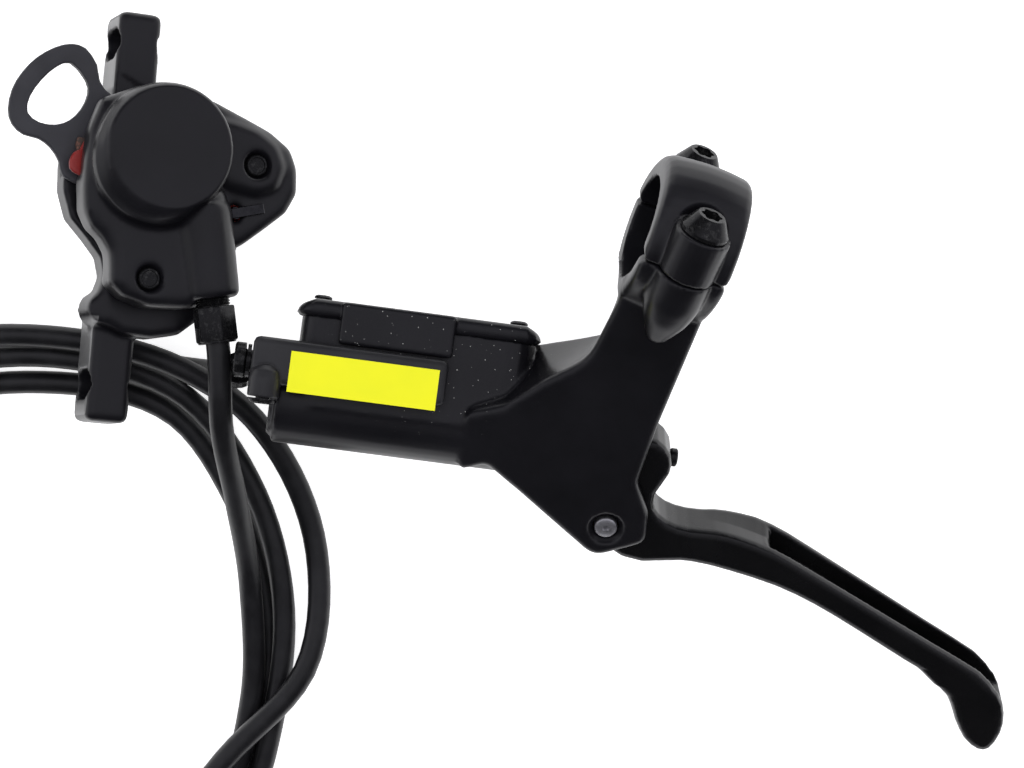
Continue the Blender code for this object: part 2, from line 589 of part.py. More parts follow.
def cylinder_parts():
    """Piston with its two cups, the return spring, the retaining washer and the rod."""
    radius = CYLINDER_BORE - GAP
    left_cup = PISTON_LEFT + 2.0
    right_cup = PISTON_RIGHT - 5.5
    groove = radius - PISTON_GROOVE
    room = CUP_WIDTH + 2 * GAP
    profile = [(0, PISTON_LEFT), (2.6, PISTON_LEFT), (radius, PISTON_LEFT + 0.3)]
    for cup in (left_cup, right_cup):
        profile += [(radius, cup), (groove, cup), (groove, cup + room), (radius, cup + room)]
    profile += [(radius, PISTON_RIGHT), (2.3, PISTON_RIGHT), (2.3, PISTON_RIGHT - 3), (0, PISTON_RIGHT - 3)]
    part("master_piston", turned(profile, 16), RESERVOIR, ALUMINIUM, turn=ALONG_X)
    for name, cup in (("primary_cup", left_cup), ("secondary_cup", right_cup)):
        ring = tube(radius, groove + GAP, cup + GAP, cup + GAP + CUP_WIDTH, 16)
        part(name, ring, RESERVOIR, RUBBER, turn=ALONG_X)
    washer = tube(CYLINDER_BORE - GAP, ROD_RADIUS + 0.8, PISTON_RIGHT + GAP, PISTON_RIGHT + GAP + 1.2, 16)
    part("bore_retainer", washer, RESERVOIR, BRIGHT_STEEL, turn=ALONG_X)
    rod = turned([(0, PISTON_RIGHT - 3 + GAP), (ROD_RADIUS, PISTON_RIGHT - 1.2),
                  (ROD_RADIUS, ROD_RIGHT - 1.6), (3.0, ROD_RIGHT - 1.4), (3.0, ROD_RIGHT),
                  (0, ROD_RIGHT)], 16)
    part("push_rod", rod, LEVER, BRIGHT_STEEL, (0, BARREL_RISE, 0), ALONG_X)
    return_spring()


def return_spring():
    """Coil spring behind the master piston."""
    start, stop = CYLINDER_BOTTOM + GAP + SPRING_WIRE, PISTON_LEFT - GAP - SPRING_WIRE
    radius = CYLINDER_BORE - GAP - SPRING_WIRE / 2 - 0.5
    per_turn = 8
    count = SPRING_TURNS * per_turn
    points = []
    for index in range(count + 1):
        angle = 2 * math.pi * index / per_turn
        along = start + (stop - start) * index / count
        points.append((along, radius * math.cos(angle), radius * math.sin(angle)))
    round_bar("return_spring", points, SPRING_WIRE / 2, RESERVOIR, BRIGHT_STEEL, 1)


BLADE_OUTLINE = [(0, 7.2), (1.5, 12), (1.6, 16.5), (4.2, 20.4), (8, 20.6), (11.4, 17.2), (11.9, 12.8),
                 (9.8, 7.5), (10.2, 3.6), (13.5, 0.8), (18.5, -0.3), (24.4, -0.1), (30, -0.9),
                 (38.1, -3.3), (47, -7.4), (63.8, -15.6), (77, -22.1), (89, -28.0), (94.9, -32.3),
                 (97.4, -37.4), (97.8, -42.5), (96.2, -47.0), (93.4, -47.7), (89.8, -45.2),
                 (87.0, -40.7), (85.2, -36.4), (82.0, -32.3), (72.1, -27.3), (58.9, -20.4),
                 (49.1, -15.6), (39.8, -12.1), (29, -9.7), (20.7, -8.6), (9.3, -8.8), (3, -7.6),
                 (-3.5, -6.2), (-7, -1.5), (-6.2, 3.8)]
CHANNEL_FLOOR = [(36, -7.5), (47, -12.0), (63.8, -20.2), (77, -26.6), (86, -31.0), (92.5, -34.0)]


def lever_blade():
    """Lever blade with its cam, its channel and the hooked tip."""
    outline = smooth_through(BLADE_OUTLINE, 2)
    blade = part("lever_blade", prism(outline, -BLADE_HALF, BLADE_HALF, BLADE_EDGE), LEVER, BLACK_PAINT)
    above = [(x, y + 14) for x, y in reversed(CHANNEL_FLOOR)]
    cut(blade, "blade_channel",
        prism(CHANNEL_FLOOR + [(103, -36), (103, -20)] + above[1:] + [(33, 5)],
              -CHANNEL_HALF, CHANNEL_HALF), LEVER)
    cut(blade, "pivot_eye", cylinder(PIN_RADIUS + BUSH_WALL + 2 * GAP, -20, 20, 24), LEVER)
    cut(blade, "adjuster_hole", cylinder(ADJUSTER_RADIUS + GAP, -10, 30, 16), LEVER,
        (0, ADJUSTER_RISE, 0), ALONG_X)
    cut(blade, "cam_slot", box((-2, 8.5, -2.6), (4.2, 19, 2.6)), LEVER)
    part("pivot_pin", cylinder(PIN_RADIUS, -ARM_HALF + 0.6, ARM_HALF - 0.4, 24), LEVER, BRIGHT_STEEL)
    for side, word in ((-1, "lower"), (1, "upper")):
        low, high = sorted((side * GAP, side * (BLADE_HALF - 0.2)))
        bush = tube(PIN_RADIUS + GAP + BUSH_WALL, PIN_RADIUS + GAP, low, high, 16)
        part("pivot_bush_" + word, bush, LEVER, BRASS)
    screw = turned([(0, ADJUSTER_LEFT), (1.0, ADJUSTER_LEFT + 0.25), (1.7, ADJUSTER_LEFT + 0.9),
                    (ADJUSTER_RADIUS, ADJUSTER_LEFT + 1.8), (ADJUSTER_RADIUS, ADJUSTER_RIGHT),
                    (1.1, ADJUSTER_RIGHT), (1.1, ADJUSTER_RIGHT - 1.5), (0, ADJUSTER_RIGHT - 1.5)], 16)
    part("reach_screw", screw, LEVER, BLACK_STEEL, (0, ADJUSTER_RISE, 0), ALONG_X)


# Caliper

OUTER_OUTLINE = [(-13.5, 9.5), (-16.4, 3.2), (-17.0, -3.5), (-16.8, -9.2), (-15.9, -14.0), (-13.6, -16.8),
                 (-10.6, -19.2), (-8.7, -22.2), (-8.3, -25.4), (-8.2, -28.6), (-5.0, -31.2), (0.4, -32.6),
                 (7.6, -32.2), (13.0, -31.0), (18.4, -28.8), (19.4, -26.0), (17.2, -20.0), (15.0, -14.0),
                 (13.6, -6.0), (13.6, 3.0), (10.5, 9.5), (3.5, 13.3), (-5.5, 13.3)]
INNER_OUTLINE = [(-13.5, 9.5), (-17.0, 3.2), (-18.0, -3.5), (-17.6, -9.2), (-15.6, -14.8), (-11.6, -18.8),
                 (-8.4, -22.4), (-7.3, -26.4), (-8.6, -31.0), (-7.5, -36.4), (-2.0, -38.6), (4.0, -38.8),
                 (10.0, -37.4), (14.5, -33.5), (17.4, -27.0), (19.0, -21.0), (21.6, -17.4), (14.0, -6.0),
                 (13.6, 3.0), (10.5, 9.5), (3.5, 13.3), (-5.5, 13.3)]
EAR_OUTLINE = [(10, 9.5), (17.4, 8.6), (22.0, 7.4), (26.2, 4.6), (28.2, 0.4), (26.8, -4.4), (22.5, -6.4),
               (16.0, -5.6), (11.0, -2.0)]
LOBE_OUTLINE = [(2, 14.0), (12.0, 12.6), (19.0, 10.0), (25.0, 7.6), (29.6, 4.4), (31.4, 0.2), (31.6, -4.8),
                (29.6, -9.0), (25.4, -12.8), (21.0, -16.6), (16.0, -20.0), (8.0, -18.0), (2.0, -4.0)]
SPACER_OUTLINE = [(-9.2, 11.8), (-12.3, 14.6), (-13.2, 18.0), (-16.0, 21.3), (-19.2, 21.8), (-22.6, 20.6),
                  (-26.2, 18.0), (-29.0, 14.5), (-30.8, 10.7), (-31.3, 6.3), (-30.2, 3.2), (-27.6, 1.3),
                  (-24.3, 0.8), (-21.6, -0.8), (-19.6, -3.4), (-18.4, -6.6), (-13.0, -8.4), (-5.0, -10.2),
                  (2.5, -9.6), (6.6, -5.5), (8.0, 0.0), (7.0, 5.5), (3.0, 9.5), (-3.0, 11.4)]
SPACER_LOOP = [(-18.8, 17.7), (-15.3, 14.4), (-14.6, 11.6), (-15.8, 8.2), (-18.0, 5.6), (-21.0, 4.2),
               (-24.6, 4.3), (-27.2, 6.0), (-27.0, 9.4), (-24.8, 13.3), (-21.8, 16.5)]
PAD_OUTLINE = [(-14.2, -8, 4), (-12, -12, 3), (7, -12.3, 5), (11.5, -6, 3), (15, -5.4, 3), (24.2, -5.0, 3.4),
               (24.2, 2.2, 3.4), (15, 3.0, 3), (11.5, 6, 3), (7, 12.3, 5), (-12, 12, 3), (-14.2, 8, 4)]
LINING_OUTLINE = [(-15.6, -7, 4), (-12, -10.6, 3), (6, -10.8, 5), (9.6, -5, 3), (9.6, 5, 3), (6, 10.8, 5),
                  (-12, 10.6, 3), (-15.6, 7, 4)]
ROOM_OUTLINE = [(-40, -13, 0), (7.4, -13, 5), (12.2, -6.8, 3), (15.4, -6.2, 2), (25.2, -5.8, 3),
                (25.2, 3.0, 3), (15.4, 3.8, 2), (12.2, 6.8, 3), (7.4, 13, 5), (-40, 13, 0)]


def caliper_shell(name, side, outline, shoulder, lobe):
    """One half of the caliper; side is 1 on the hose's side and -1 on the wheel's side."""
    def span(near, far):
        return sorted((side * near, side * far))

    split = GAP / 2
    half = part(name, prism(smooth_through(outline, 1), *span(split, shoulder), 1.8), CALIPER,
                BLACK_PAINT)
    join(half, name + "_lobe", prism(smooth_through(LOBE_OUTLINE, 1), *span(split, lobe), 1.6), CALIPER)
    disc = cylinder(CALIPER_DISC, 2, CALIPER_HALF, 40)
    rim = [edge for edge in disc.edges if min(vert.co.z for vert in edge.verts) > CALIPER_HALF - 0.1]
    bmesh.ops.bevel(disc, geom=rim, offset=1.2, segments=2, profile=0.5, affect="EDGES")
    if side < 0:
        swung(disc, about("X", 180))
    join(half, name + "_disc", disc, CALIPER)
    return half


def caliper_cuts(half, side):
    """Rotor slot, pad room, piston bore and bolt holes of one half."""
    def span(near, far):
        return sorted((side * near, side * far))

    cut(half, "rotor_way", cylinder(ROTOR_SWEEP, *span(-1, ROTOR_SLOT_HALF), 64), CALIPER,
        (*ROTOR_CENTRE, 0))
    plate_back = PAD_FACE + LINING_THICK + GAP + PLATE_THICK
    cut(half, "pad_room", prism(rounded(ROOM_OUTLINE), *span(-1, plate_back + GAP)), PADS)
    cut(half, "piston_bore", cylinder(CALIPER_BORE, *span(1, BORE_END), 36), CALIPER)
    for x, y in BODY_BOLTS:
        cut(half, "bolt_hole", cylinder(BODY_BOLT + GAP, -30, 30, 16), CALIPER, (x, y, 0))


def post_mount(half, name, middle, inner_end, outer_end):
    """One mounting ear of the caliper, with its slot."""
    low, high = sorted((inner_end, outer_end))
    ear = box((MOUNT_FACE, low, MOUNT_BACK), (MOUNT_FACE + MOUNT_THICK, high, MOUNT_FRONT), 1.6)
    join(half, name, ear, CALIPER)
    run = MOUNT_SLOT_LONG / 2 - MOUNT_SLOT
    depth = (MOUNT_FRONT + MOUNT_BACK) / 2
    slot = arc((-run, 0), MOUNT_SLOT, 90, 270, 8) + arc((run, 0), MOUNT_SLOT, -90, 90, 8)
    cut(half, name + "_slot", prism(slot, MOUNT_FACE - 5, MOUNT_FACE + MOUNT_THICK + 5), CALIPER,
        (0, middle, depth), ALONG_X)


def caliper_housing():
    """Both halves of the caliper."""
    outer = caliper_shell("caliper_outer_half", 1, OUTER_OUTLINE, CALIPER_SHOULDER, CALIPER_LOBE)
    lean = about("Z", PORT_LEAN) @ ALONG_MINUS_Y
    join(outer, "bolt_ear", prism(smooth_through(EAR_OUTLINE, 1), 2, CALIPER_EAR, 1.2), CALIPER)
    join(outer, "port_boss", cylinder(PORT_BOSS, -25, PORT_BOSS_FOOT, 28), CALIPER, PORT_FOOT, lean)
    caliper_cuts(outer, 1)
    cut(outer, "port_thread", cylinder(NUT_SHANK + GAP, -8, 5, 20), CALIPER, PORT_FOOT, lean)

    inner = caliper_shell("caliper_inner_half", -1, INNER_OUTLINE, CALIPER_SHOULDER, CALIPER_SHOULDER)
    top_slot = MOUNT_MIDDLE + MOUNT_SPACING / 2
    low_slot = MOUNT_MIDDLE - MOUNT_SPACING / 2
    post_mount(inner, "upper_mount", top_slot, 6.0, top_slot + MOUNT_LENGTH * 0.42)
    post_mount(inner, "lower_mount", low_slot, -33.0, low_slot - MOUNT_LENGTH / 2)
    caliper_cuts(inner, -1)
    hose_fittings()
    pad_hardware(outer, inner)
    bleed_screw(inner)
    for x, y in BODY_BOLTS:
        cut(inner, "bolt_head_room", cylinder(BODY_BOLT_HEAD + GAP, -40, -7.5, 20), CALIPER, (x, y, 0))

    tops = (CALIPER_EAR - 0.3, CALIPER_SHOULDER - 0.3)
    for word, (x, y), top in zip(("upper", "lower"), BODY_BOLTS, tops):
        bolt = turned([(0, -10.3), (1.6, -10.3), (BODY_BOLT_HEAD - 0.3, -10.3), (BODY_BOLT_HEAD, -10.0),
                       (BODY_BOLT_HEAD, -7.8), (BODY_BOLT, -7.8), (BODY_BOLT, top - 0.4),
                       (BODY_BOLT - 0.4, top), (0, top)], 16)
        part("body_bolt_" + word, bolt, CALIPER, BLACK_STEEL, (x, y, 0))


def pads_and_pistons():
    """Pistons with their seals, brake pads, pad spring, pad pin and the shipping spacer."""
    plate_face = PAD_FACE + LINING_THICK + GAP
    piston_face = plate_face + PLATE_THICK + GAP
    radius = CALIPER_BORE - GAP
    for side, word in ((1, "outer"), (-1, "inner")):
        turn = NO_TURN if side > 0 else about("X", 180)
        groove = radius - 1.5
        seal_at = piston_face + 4.5
        piston = turned([(7.5, piston_face + 5), (0, piston_face + 5), (0, piston_face + 7),
                         (radius - 0.4, piston_face + CALIPER_PISTON_LONG),
                         (radius, piston_face + CALIPER_PISTON_LONG - 0.4), (radius, seal_at + 2.6),
                         (groove, seal_at + 2.6), (groove, seal_at), (radius, seal_at),
                         (radius, piston_face + 0.3), (radius - 0.3, piston_face), (7.5, piston_face)], 20)
        part(word + "_piston", piston, CALIPER, ALUMINIUM, turn=turn)
        ring = tube(radius, groove + GAP, seal_at + GAP, seal_at + 2.3, 20)
        part(word + "_piston_seal", ring, CALIPER, RUBBER, turn=turn)
        low, high = sorted((side * plate_face, side * (plate_face + PLATE_THICK)))
        plate = part(word + "_pad_plate", prism(rounded(PAD_OUTLINE, 2), low, high, 0.25, 1), PADS, RED_PAINT)
        cut(plate, "pin_way", cylinder(PAD_PIN + GAP, -20, 20, 12), PADS, (*PAD_PIN_AT, 0))
        low, high = sorted((side * PAD_FACE, side * (PAD_FACE + LINING_THICK)))
        part(word + "_pad_lining", prism(rounded(LINING_OUTLINE, 2), low, high, 0.3, 1), PADS, LINING)


def pad_hardware(outer_half, inner_half):
    """Split pin that holds the pads, the leaf spring between them and the shipping spacer."""
    for half in (outer_half, inner_half):
        cut(half, "pad_pin_hole", cylinder(PAD_PIN + GAP, -30, 30, 12), PADS, (*PAD_PIN_AT, 0))
    far = -CALIPER_SHOULDER - GAP
    near = CALIPER_LOBE + GAP
    shank = turned([(0, far - 1.0), (PAD_PIN + 0.9, far - 1.0), (PAD_PIN + 0.9, far),
                    (PAD_PIN, far), (PAD_PIN, near + 0.5), (0, near + 0.5)], 12)
    pin = part("pad_pin", shank, PADS, BRIGHT_STEEL, (*PAD_PIN_AT, 0))
    leg = box((-0.9, -1.1, 0), (6.2, 1.1, 0.7), 0.15, 1)
    join(pin, "bent_leg", leg, PADS, (*PAD_PIN_AT, near), about("Z", 42) @ about("Y", -7))

    plate_face = PAD_FACE + LINING_THICK + GAP
    reach = plate_face - 0.7
    thick = 0.4
    outside = [(10.9, -reach), (15.6, -reach), (17.6, -reach * 0.6), (18.3, 0), (17.6, reach * 0.6),
               (15.6, reach), (10.9, reach)]
    inside = [(10.9, reach - thick), (15.4, reach - thick), (17.2, reach * 0.55), (17.8, 0),
              (17.2, -reach * 0.55), (15.4, thick - reach), (10.9, thick - reach)]
    leaf = prism(outside + inside, -1.6, 3.0)
    part("pad_spring", leaf, PADS, BRIGHT_STEEL, turn=ALONG_MINUS_Y)

    spacer = prism(smooth_through(SPACER_OUTLINE, 2), -SPACER_THICK / 2, SPACER_THICK / 2, 0.3, 1)
    thing = part("pad_spacer", spacer, CALIPER, BLACK_PLASTIC)
    cut(thing, "finger_loop", prism(smooth_through(SPACER_LOOP, 2), -5, 5), CALIPER)


def hose_fittings():
    """Nut and olive at the caliper; banjo with its hollow bolt and washers at the lever."""
    lean = about("Z", PORT_LEAN) @ ALONG_MINUS_Y
    nut = part("caliper_hose_nut", cylinder(NUT_HEX, NUT_START, NUT_LONG, 6), CALIPER, BLACK_STEEL,
               PORT_FOOT, lean)
    join(nut, "nut_thread", cylinder(NUT_SHANK, -4.8, NUT_START + 1, 20), CALIPER, PORT_FOOT, lean)
    cut(nut, "nut_bore", cylinder(HOSE + GAP, -10, 20, 16), CALIPER, PORT_FOOT, lean)
    olive = turned([(HOSE + GAP, -4.8 - GAP - OLIVE_LONG), (NUT_SHANK - 0.3, -4.8 - GAP - OLIVE_LONG * 0.7),
                    (NUT_SHANK - 0.3, -4.8 - GAP - OLIVE_LONG * 0.3), (HOSE + GAP, -4.8 - GAP)], 20)
    part("caliper_olive", olive, CALIPER, BRASS, PORT_FOOT, lean)

    port = (PORT_END, PORT_RISE, PORT_DEPTH)
    spin = about("X", ELBOW_TURN) @ about("Y", -90)
    washer = tube(ELBOW_RADIUS - 0.2, ELBOW_THREAD + GAP, GAP, GAP + WASHER_THICK, 20)
    part("elbow_washer", washer, RESERVOIR, BLACK_STEEL, port, spin)
    near = WASHER_THICK + 2 * GAP
    far = near + ELBOW_THICK
    flange = turned([(0, -5.5), (ELBOW_THREAD - 0.4, -5.5), (ELBOW_THREAD, -5.1), (ELBOW_THREAD, near),
                     (ELBOW_RADIUS, near), (ELBOW_RADIUS, far - 0.4), (ELBOW_RADIUS - 0.4, far), (0, far)], 24)
    elbow = part("hose_elbow", flange, RESERVOIR, BLACK_STEEL, port, spin)
    outer = HOSE + GAP + FERRULE_WALL
    mouth = FERRULE_START + FERRULE_LONG
    stem = turned([(0, ELBOW_RADIUS - 1.5), (ELBOW_STEM, ELBOW_RADIUS - 1.5), (ELBOW_STEM, FERRULE_START),
                   (outer, FERRULE_START), (outer, mouth), (HOSE + GAP, mouth),
                   (HOSE + GAP, FERRULE_START + 1), (0, FERRULE_START + 1)], 20)
    down = spin @ Matrix.Translation((0, 0, (near + far) / 2 * MM)) @ about("Y", -90)
    join(elbow, "elbow_stem", stem, RESERVOIR, port, down)


def smooth_line(points, count):
    """Evenly spaced points on a smooth curve through the given points."""
    knots = [Vector(point) for point in points]
    slopes = []
    for index, knot in enumerate(knots):
        before = knots[max(index - 1, 0)]
        after = knots[min(index + 1, len(knots) - 1)]
        back, ahead = (knot - before).length, (after - knot).length
        if back == 0 or ahead == 0:
            slopes.append((after - before).normalized())
        else:
            slopes.append(((knot - before) / back * ahead + (after - knot) / ahead * back) / (back + ahead))
    dense = []
    for (p0, p1), (m0, m1) in zip(zip(knots, knots[1:]), zip(slopes, slopes[1:])):
        span = (p1 - p0).length
        for step in range(16):
            t = step / 16
            dense.append(p0 * (2 * t ** 3 - 3 * t ** 2 + 1) + m0 * span * (t ** 3 - 2 * t ** 2 + t)
                         + p1 * (3 * t ** 2 - 2 * t ** 3) + m1 * span * (t ** 3 - t ** 2))
    dense.append(knots[-1])
    runs = [0.0]
    for first, second in zip(dense, dense[1:]):
        runs.append(runs[-1] + (second - first).length)
    line = []
    place_on = 0
    for index in range(count):
        wanted = runs[-1] * index / (count - 1)
        while place_on < len(runs) - 2 and runs[place_on + 1] < wanted:
            place_on += 1
        share = (wanted - runs[place_on]) / (runs[place_on + 1] - runs[place_on])
        line.append(dense[place_on].lerp(dense[place_on + 1], share))
    return line


def hose():
    """Hose from fitting to fitting, straight where it leaves each of them."""
    start = [Vector(point) for point in HOSE_ROUTE[:3]]
    end = [Vector(point) for point in HOSE_ROUTE[-2:]]
    free = [point for point in smooth_line(HOSE_ROUTE, HOSE_POINTS)
            if min((point - fixed).length for fixed in start + end) > 9]
    round_bar("hose", start + free + end, HOSE, BENCH, RUBBER, 2)


def round_bar(name, points, radius, carrier, finish, resolution):
    """Bent round bar, wire or hose along a line of points."""
    curve = bpy.data.curves.new(name, "CURVE")
    curve.dimensions = "3D"
    curve.bevel_depth = radius * MM
    curve.bevel_resolution = resolution
    curve.use_fill_caps = True
    line = curve.splines.new("POLY")
    line.points.add(len(points) - 1)
    for spot, point in zip(line.points, points):
        spot.co = (*(Vector(point) * MM), 1.0)
    bar = bpy.data.objects.new(name, curve)
    PARTS.objects.link(bar)
    bar.parent = carrier
    curve.materials.append(material(name, finish))
    return bar


def bleed_screw(half):
    """Bleed screw on the wheel's side of the caliper."""
    at = (8.0, -30.5, -CALIPER_SHOULDER)
    away = about("X", 180)
    cut(half, "bleed_thread", cylinder(1.9 + GAP, -6.5, 5, 16), CALIPER, at, away)
    screw = turned([(0, -6), (1.2, -6), (1.9, -5.2), (1.9, GAP), (3.0, GAP), (3.0, 1.6), (1.3, 1.6),
                    (1.3, 0.6), (0, 0.6)], 16)
    part("bleed_screw", screw, CALIPER, BLACK_STEEL, at, away)


def build():
    """Build the whole brake."""
    lever_body()
    reservoir_parts()
    switch_housing()
    clamp_parts()
    cylinder_parts()
    lever_blade()
    caliper_housing()
    pads_and_pistons()
    hose()


build()
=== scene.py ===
"""Hydraulic disc brake on a white bench: the castings, hardware, hose and finishes.

Sizes are in millimetres; they become metres when a piece is made. The lever and the caliper
each have a square frame of their own, as in the solid model:

Lever frame: X along the master cylinder towards the blade, Y towards the bar clamp, Z along the pivot.
Reservoir frame: the lever frame turned about the cylinder, so that Y is square to the cap.
Clamp frame: X along the handlebar, Y along the clamp bolts.
Caliper frame: Z along the pistons, Y along the line of the two mounting slots.
"""

from __future__ import annotations

import logging
import math
from dataclasses import dataclass
from enum import Enum
from typing import Callable, ClassVar

import bmesh
import bpy
from mathutils import Matrix, Vector

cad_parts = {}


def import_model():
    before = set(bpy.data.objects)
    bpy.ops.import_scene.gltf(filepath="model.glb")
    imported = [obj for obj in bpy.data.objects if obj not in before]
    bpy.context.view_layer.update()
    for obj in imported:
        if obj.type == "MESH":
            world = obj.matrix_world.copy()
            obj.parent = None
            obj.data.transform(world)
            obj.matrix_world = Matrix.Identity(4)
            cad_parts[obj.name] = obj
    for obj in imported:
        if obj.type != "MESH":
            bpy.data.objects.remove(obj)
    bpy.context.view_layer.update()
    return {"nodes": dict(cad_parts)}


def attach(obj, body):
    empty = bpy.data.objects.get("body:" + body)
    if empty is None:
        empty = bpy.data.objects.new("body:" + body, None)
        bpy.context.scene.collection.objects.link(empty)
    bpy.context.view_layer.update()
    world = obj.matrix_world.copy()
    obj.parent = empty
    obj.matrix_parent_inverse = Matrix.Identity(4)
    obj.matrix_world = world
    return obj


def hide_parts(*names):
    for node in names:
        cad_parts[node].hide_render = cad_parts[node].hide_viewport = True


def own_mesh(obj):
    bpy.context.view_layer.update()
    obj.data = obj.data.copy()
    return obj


LOG = logging.getLogger("disc_brake")
MM = 0.001
Point = tuple[float, float, float]


class Slot(Enum):
    """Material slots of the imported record."""

    CASTING = "black_casting"
    PLASTIC = "black_plastic"
    BLACK_STEEL = "black_steel"
    BRIGHT_STEEL = "bright_steel"
    ALUMINIUM = "bare_aluminium"
    BRASS = "brass"
    RUBBER = "rubber"
    HOSE = "hose_jacket"
    RED = "red_plate"
    LINING = "pad_lining"


def turn(axis: str, degrees: float) -> Matrix:
    """Rotation about a named axis.

    Args:
        axis: "X", "Y" or "Z".
        degrees: Angle in degrees.

    Returns:
        The 4x4 rotation.
    """
    return Matrix.Rotation(math.radians(degrees), 4, axis)


def shift(x: float, y: float, z: float) -> Matrix:
    """Translation in millimetres.

    Args:
        x: Distance along X.
        y: Distance along Y.
        z: Distance along Z.

    Returns:
        The 4x4 translation.
    """
    return Matrix.Translation(Vector((x, y, z)))


def share(value: float, low: float, high: float) -> float:
    """How far a value has come from one limit to another.

    Args:
        value: The value.
        low: Where the share is 0.
        high: Where the share is 1, which may be below the other limit.

    Returns:
        The share, from 0 to 1.
    """
    return min(max((value - low) / (high - low), 0.0), 1.0)


@dataclass(frozen=True)
class Bench:
    """Where the lever and the caliper lie on the bench, in millimetres and degrees."""

    middle: Point = (-2.2, -1.3, 0.0)
    lever_at: Point = (20.2, -22.5, 25.5)
    lever_turn: float = -8.64
    lever_tilt: float = 20.0
    caliper_at: Point = (-77.6, 53.7, 23.7)
    caliper_turn: float = -4.6
    caliper_slope: float = -13.5
    caliper_roll: float = 19.6

    @property
    def bench(self) -> Matrix:
        """Frame of the bench.

        Returns:
            The 4x4 frame.
        """
        return shift(*self.middle)

    @property
    def lever(self) -> Matrix:
        """Frame of the lever.

        Returns:
            The 4x4 frame.
        """
        return self.bench @ shift(*self.lever_at) @ turn("X", self.lever_tilt) @ turn("Z", self.lever_turn)

    @property
    def reservoir(self) -> Matrix:
        """Frame of the reservoir and its cap.

        Returns:
            The 4x4 frame.
        """
        return self.lever @ shift(0, 16.5, 0) @ turn("X", -30)

    @property
    def clamp(self) -> Matrix:
        """Frame of the handlebar clamp.

        Returns:
            The 4x4 frame.
        """
        return self.lever @ shift(5.0, 66.6, 0) @ turn("Z", -12.5)

    @property
    def caliper(self) -> Matrix:
        """Frame of the caliper.

        Returns:
            The 4x4 frame.
        """
        return (self.bench @ shift(*self.caliper_at) @ turn("Z", self.caliper_turn)
                @ turn("X", self.caliper_slope) @ turn("Y", self.caliper_roll))

    @property
    def port(self) -> Matrix:
        """Frame of the hose's port in the caliper, with Z along the hose.

        Returns:
            The 4x4 frame.
        """
        return self.caliper @ shift(14.6, -32.0, 8.5) @ turn("Z", 12.0) @ turn("X", 90)


BENCH = Bench()
ALONG_X = turn("Y", 90)
ALONG_Y = turn("X", -90)


# Finishes


def combine(tree: bpy.types.NodeTree, operation: str, first: bpy.types.NodeSocket | float,
            second: bpy.types.NodeSocket | float) -> bpy.types.NodeSocket:
    """Combine two numbers in a node tree.

    Args:
        tree: The tree.
        operation: Name of the Math node's operation.
        first: A number or socket.
        second: A number or socket.

    Returns:
        The result.
    """
    node = tree.nodes.new("ShaderNodeMath")
    node.operation = operation
    for index, value in enumerate((first, second)):
        if isinstance(value, bpy.types.NodeSocket):
            tree.links.new(value, node.inputs[index])
        else:
            node.inputs[index].default_value = value
    return node.outputs["Value"]


def map_range(tree: bpy.types.NodeTree, value: bpy.types.NodeSocket, limits: tuple[float, float],
              becomes: tuple[float, float], soft: bool = False) -> bpy.types.NodeSocket:
    """Map a range to another, clamped.

    Args:
        tree: The tree.
        value: The value to map.
        limits: The range that comes in.
        becomes: What its two ends become.
        soft: Whether the ends are eased.

    Returns:
        The mapped value.
    """
    node = tree.nodes.new("ShaderNodeMapRange")
    if soft:
        node.interpolation_type = "SMOOTHSTEP"
    for key, number in zip(("From Min", "From Max", "To Min", "To Max"), limits + becomes):
        node.inputs[key].default_value = number
    tree.links.new(value, node.inputs["Value"])
    return node.outputs["Result"]


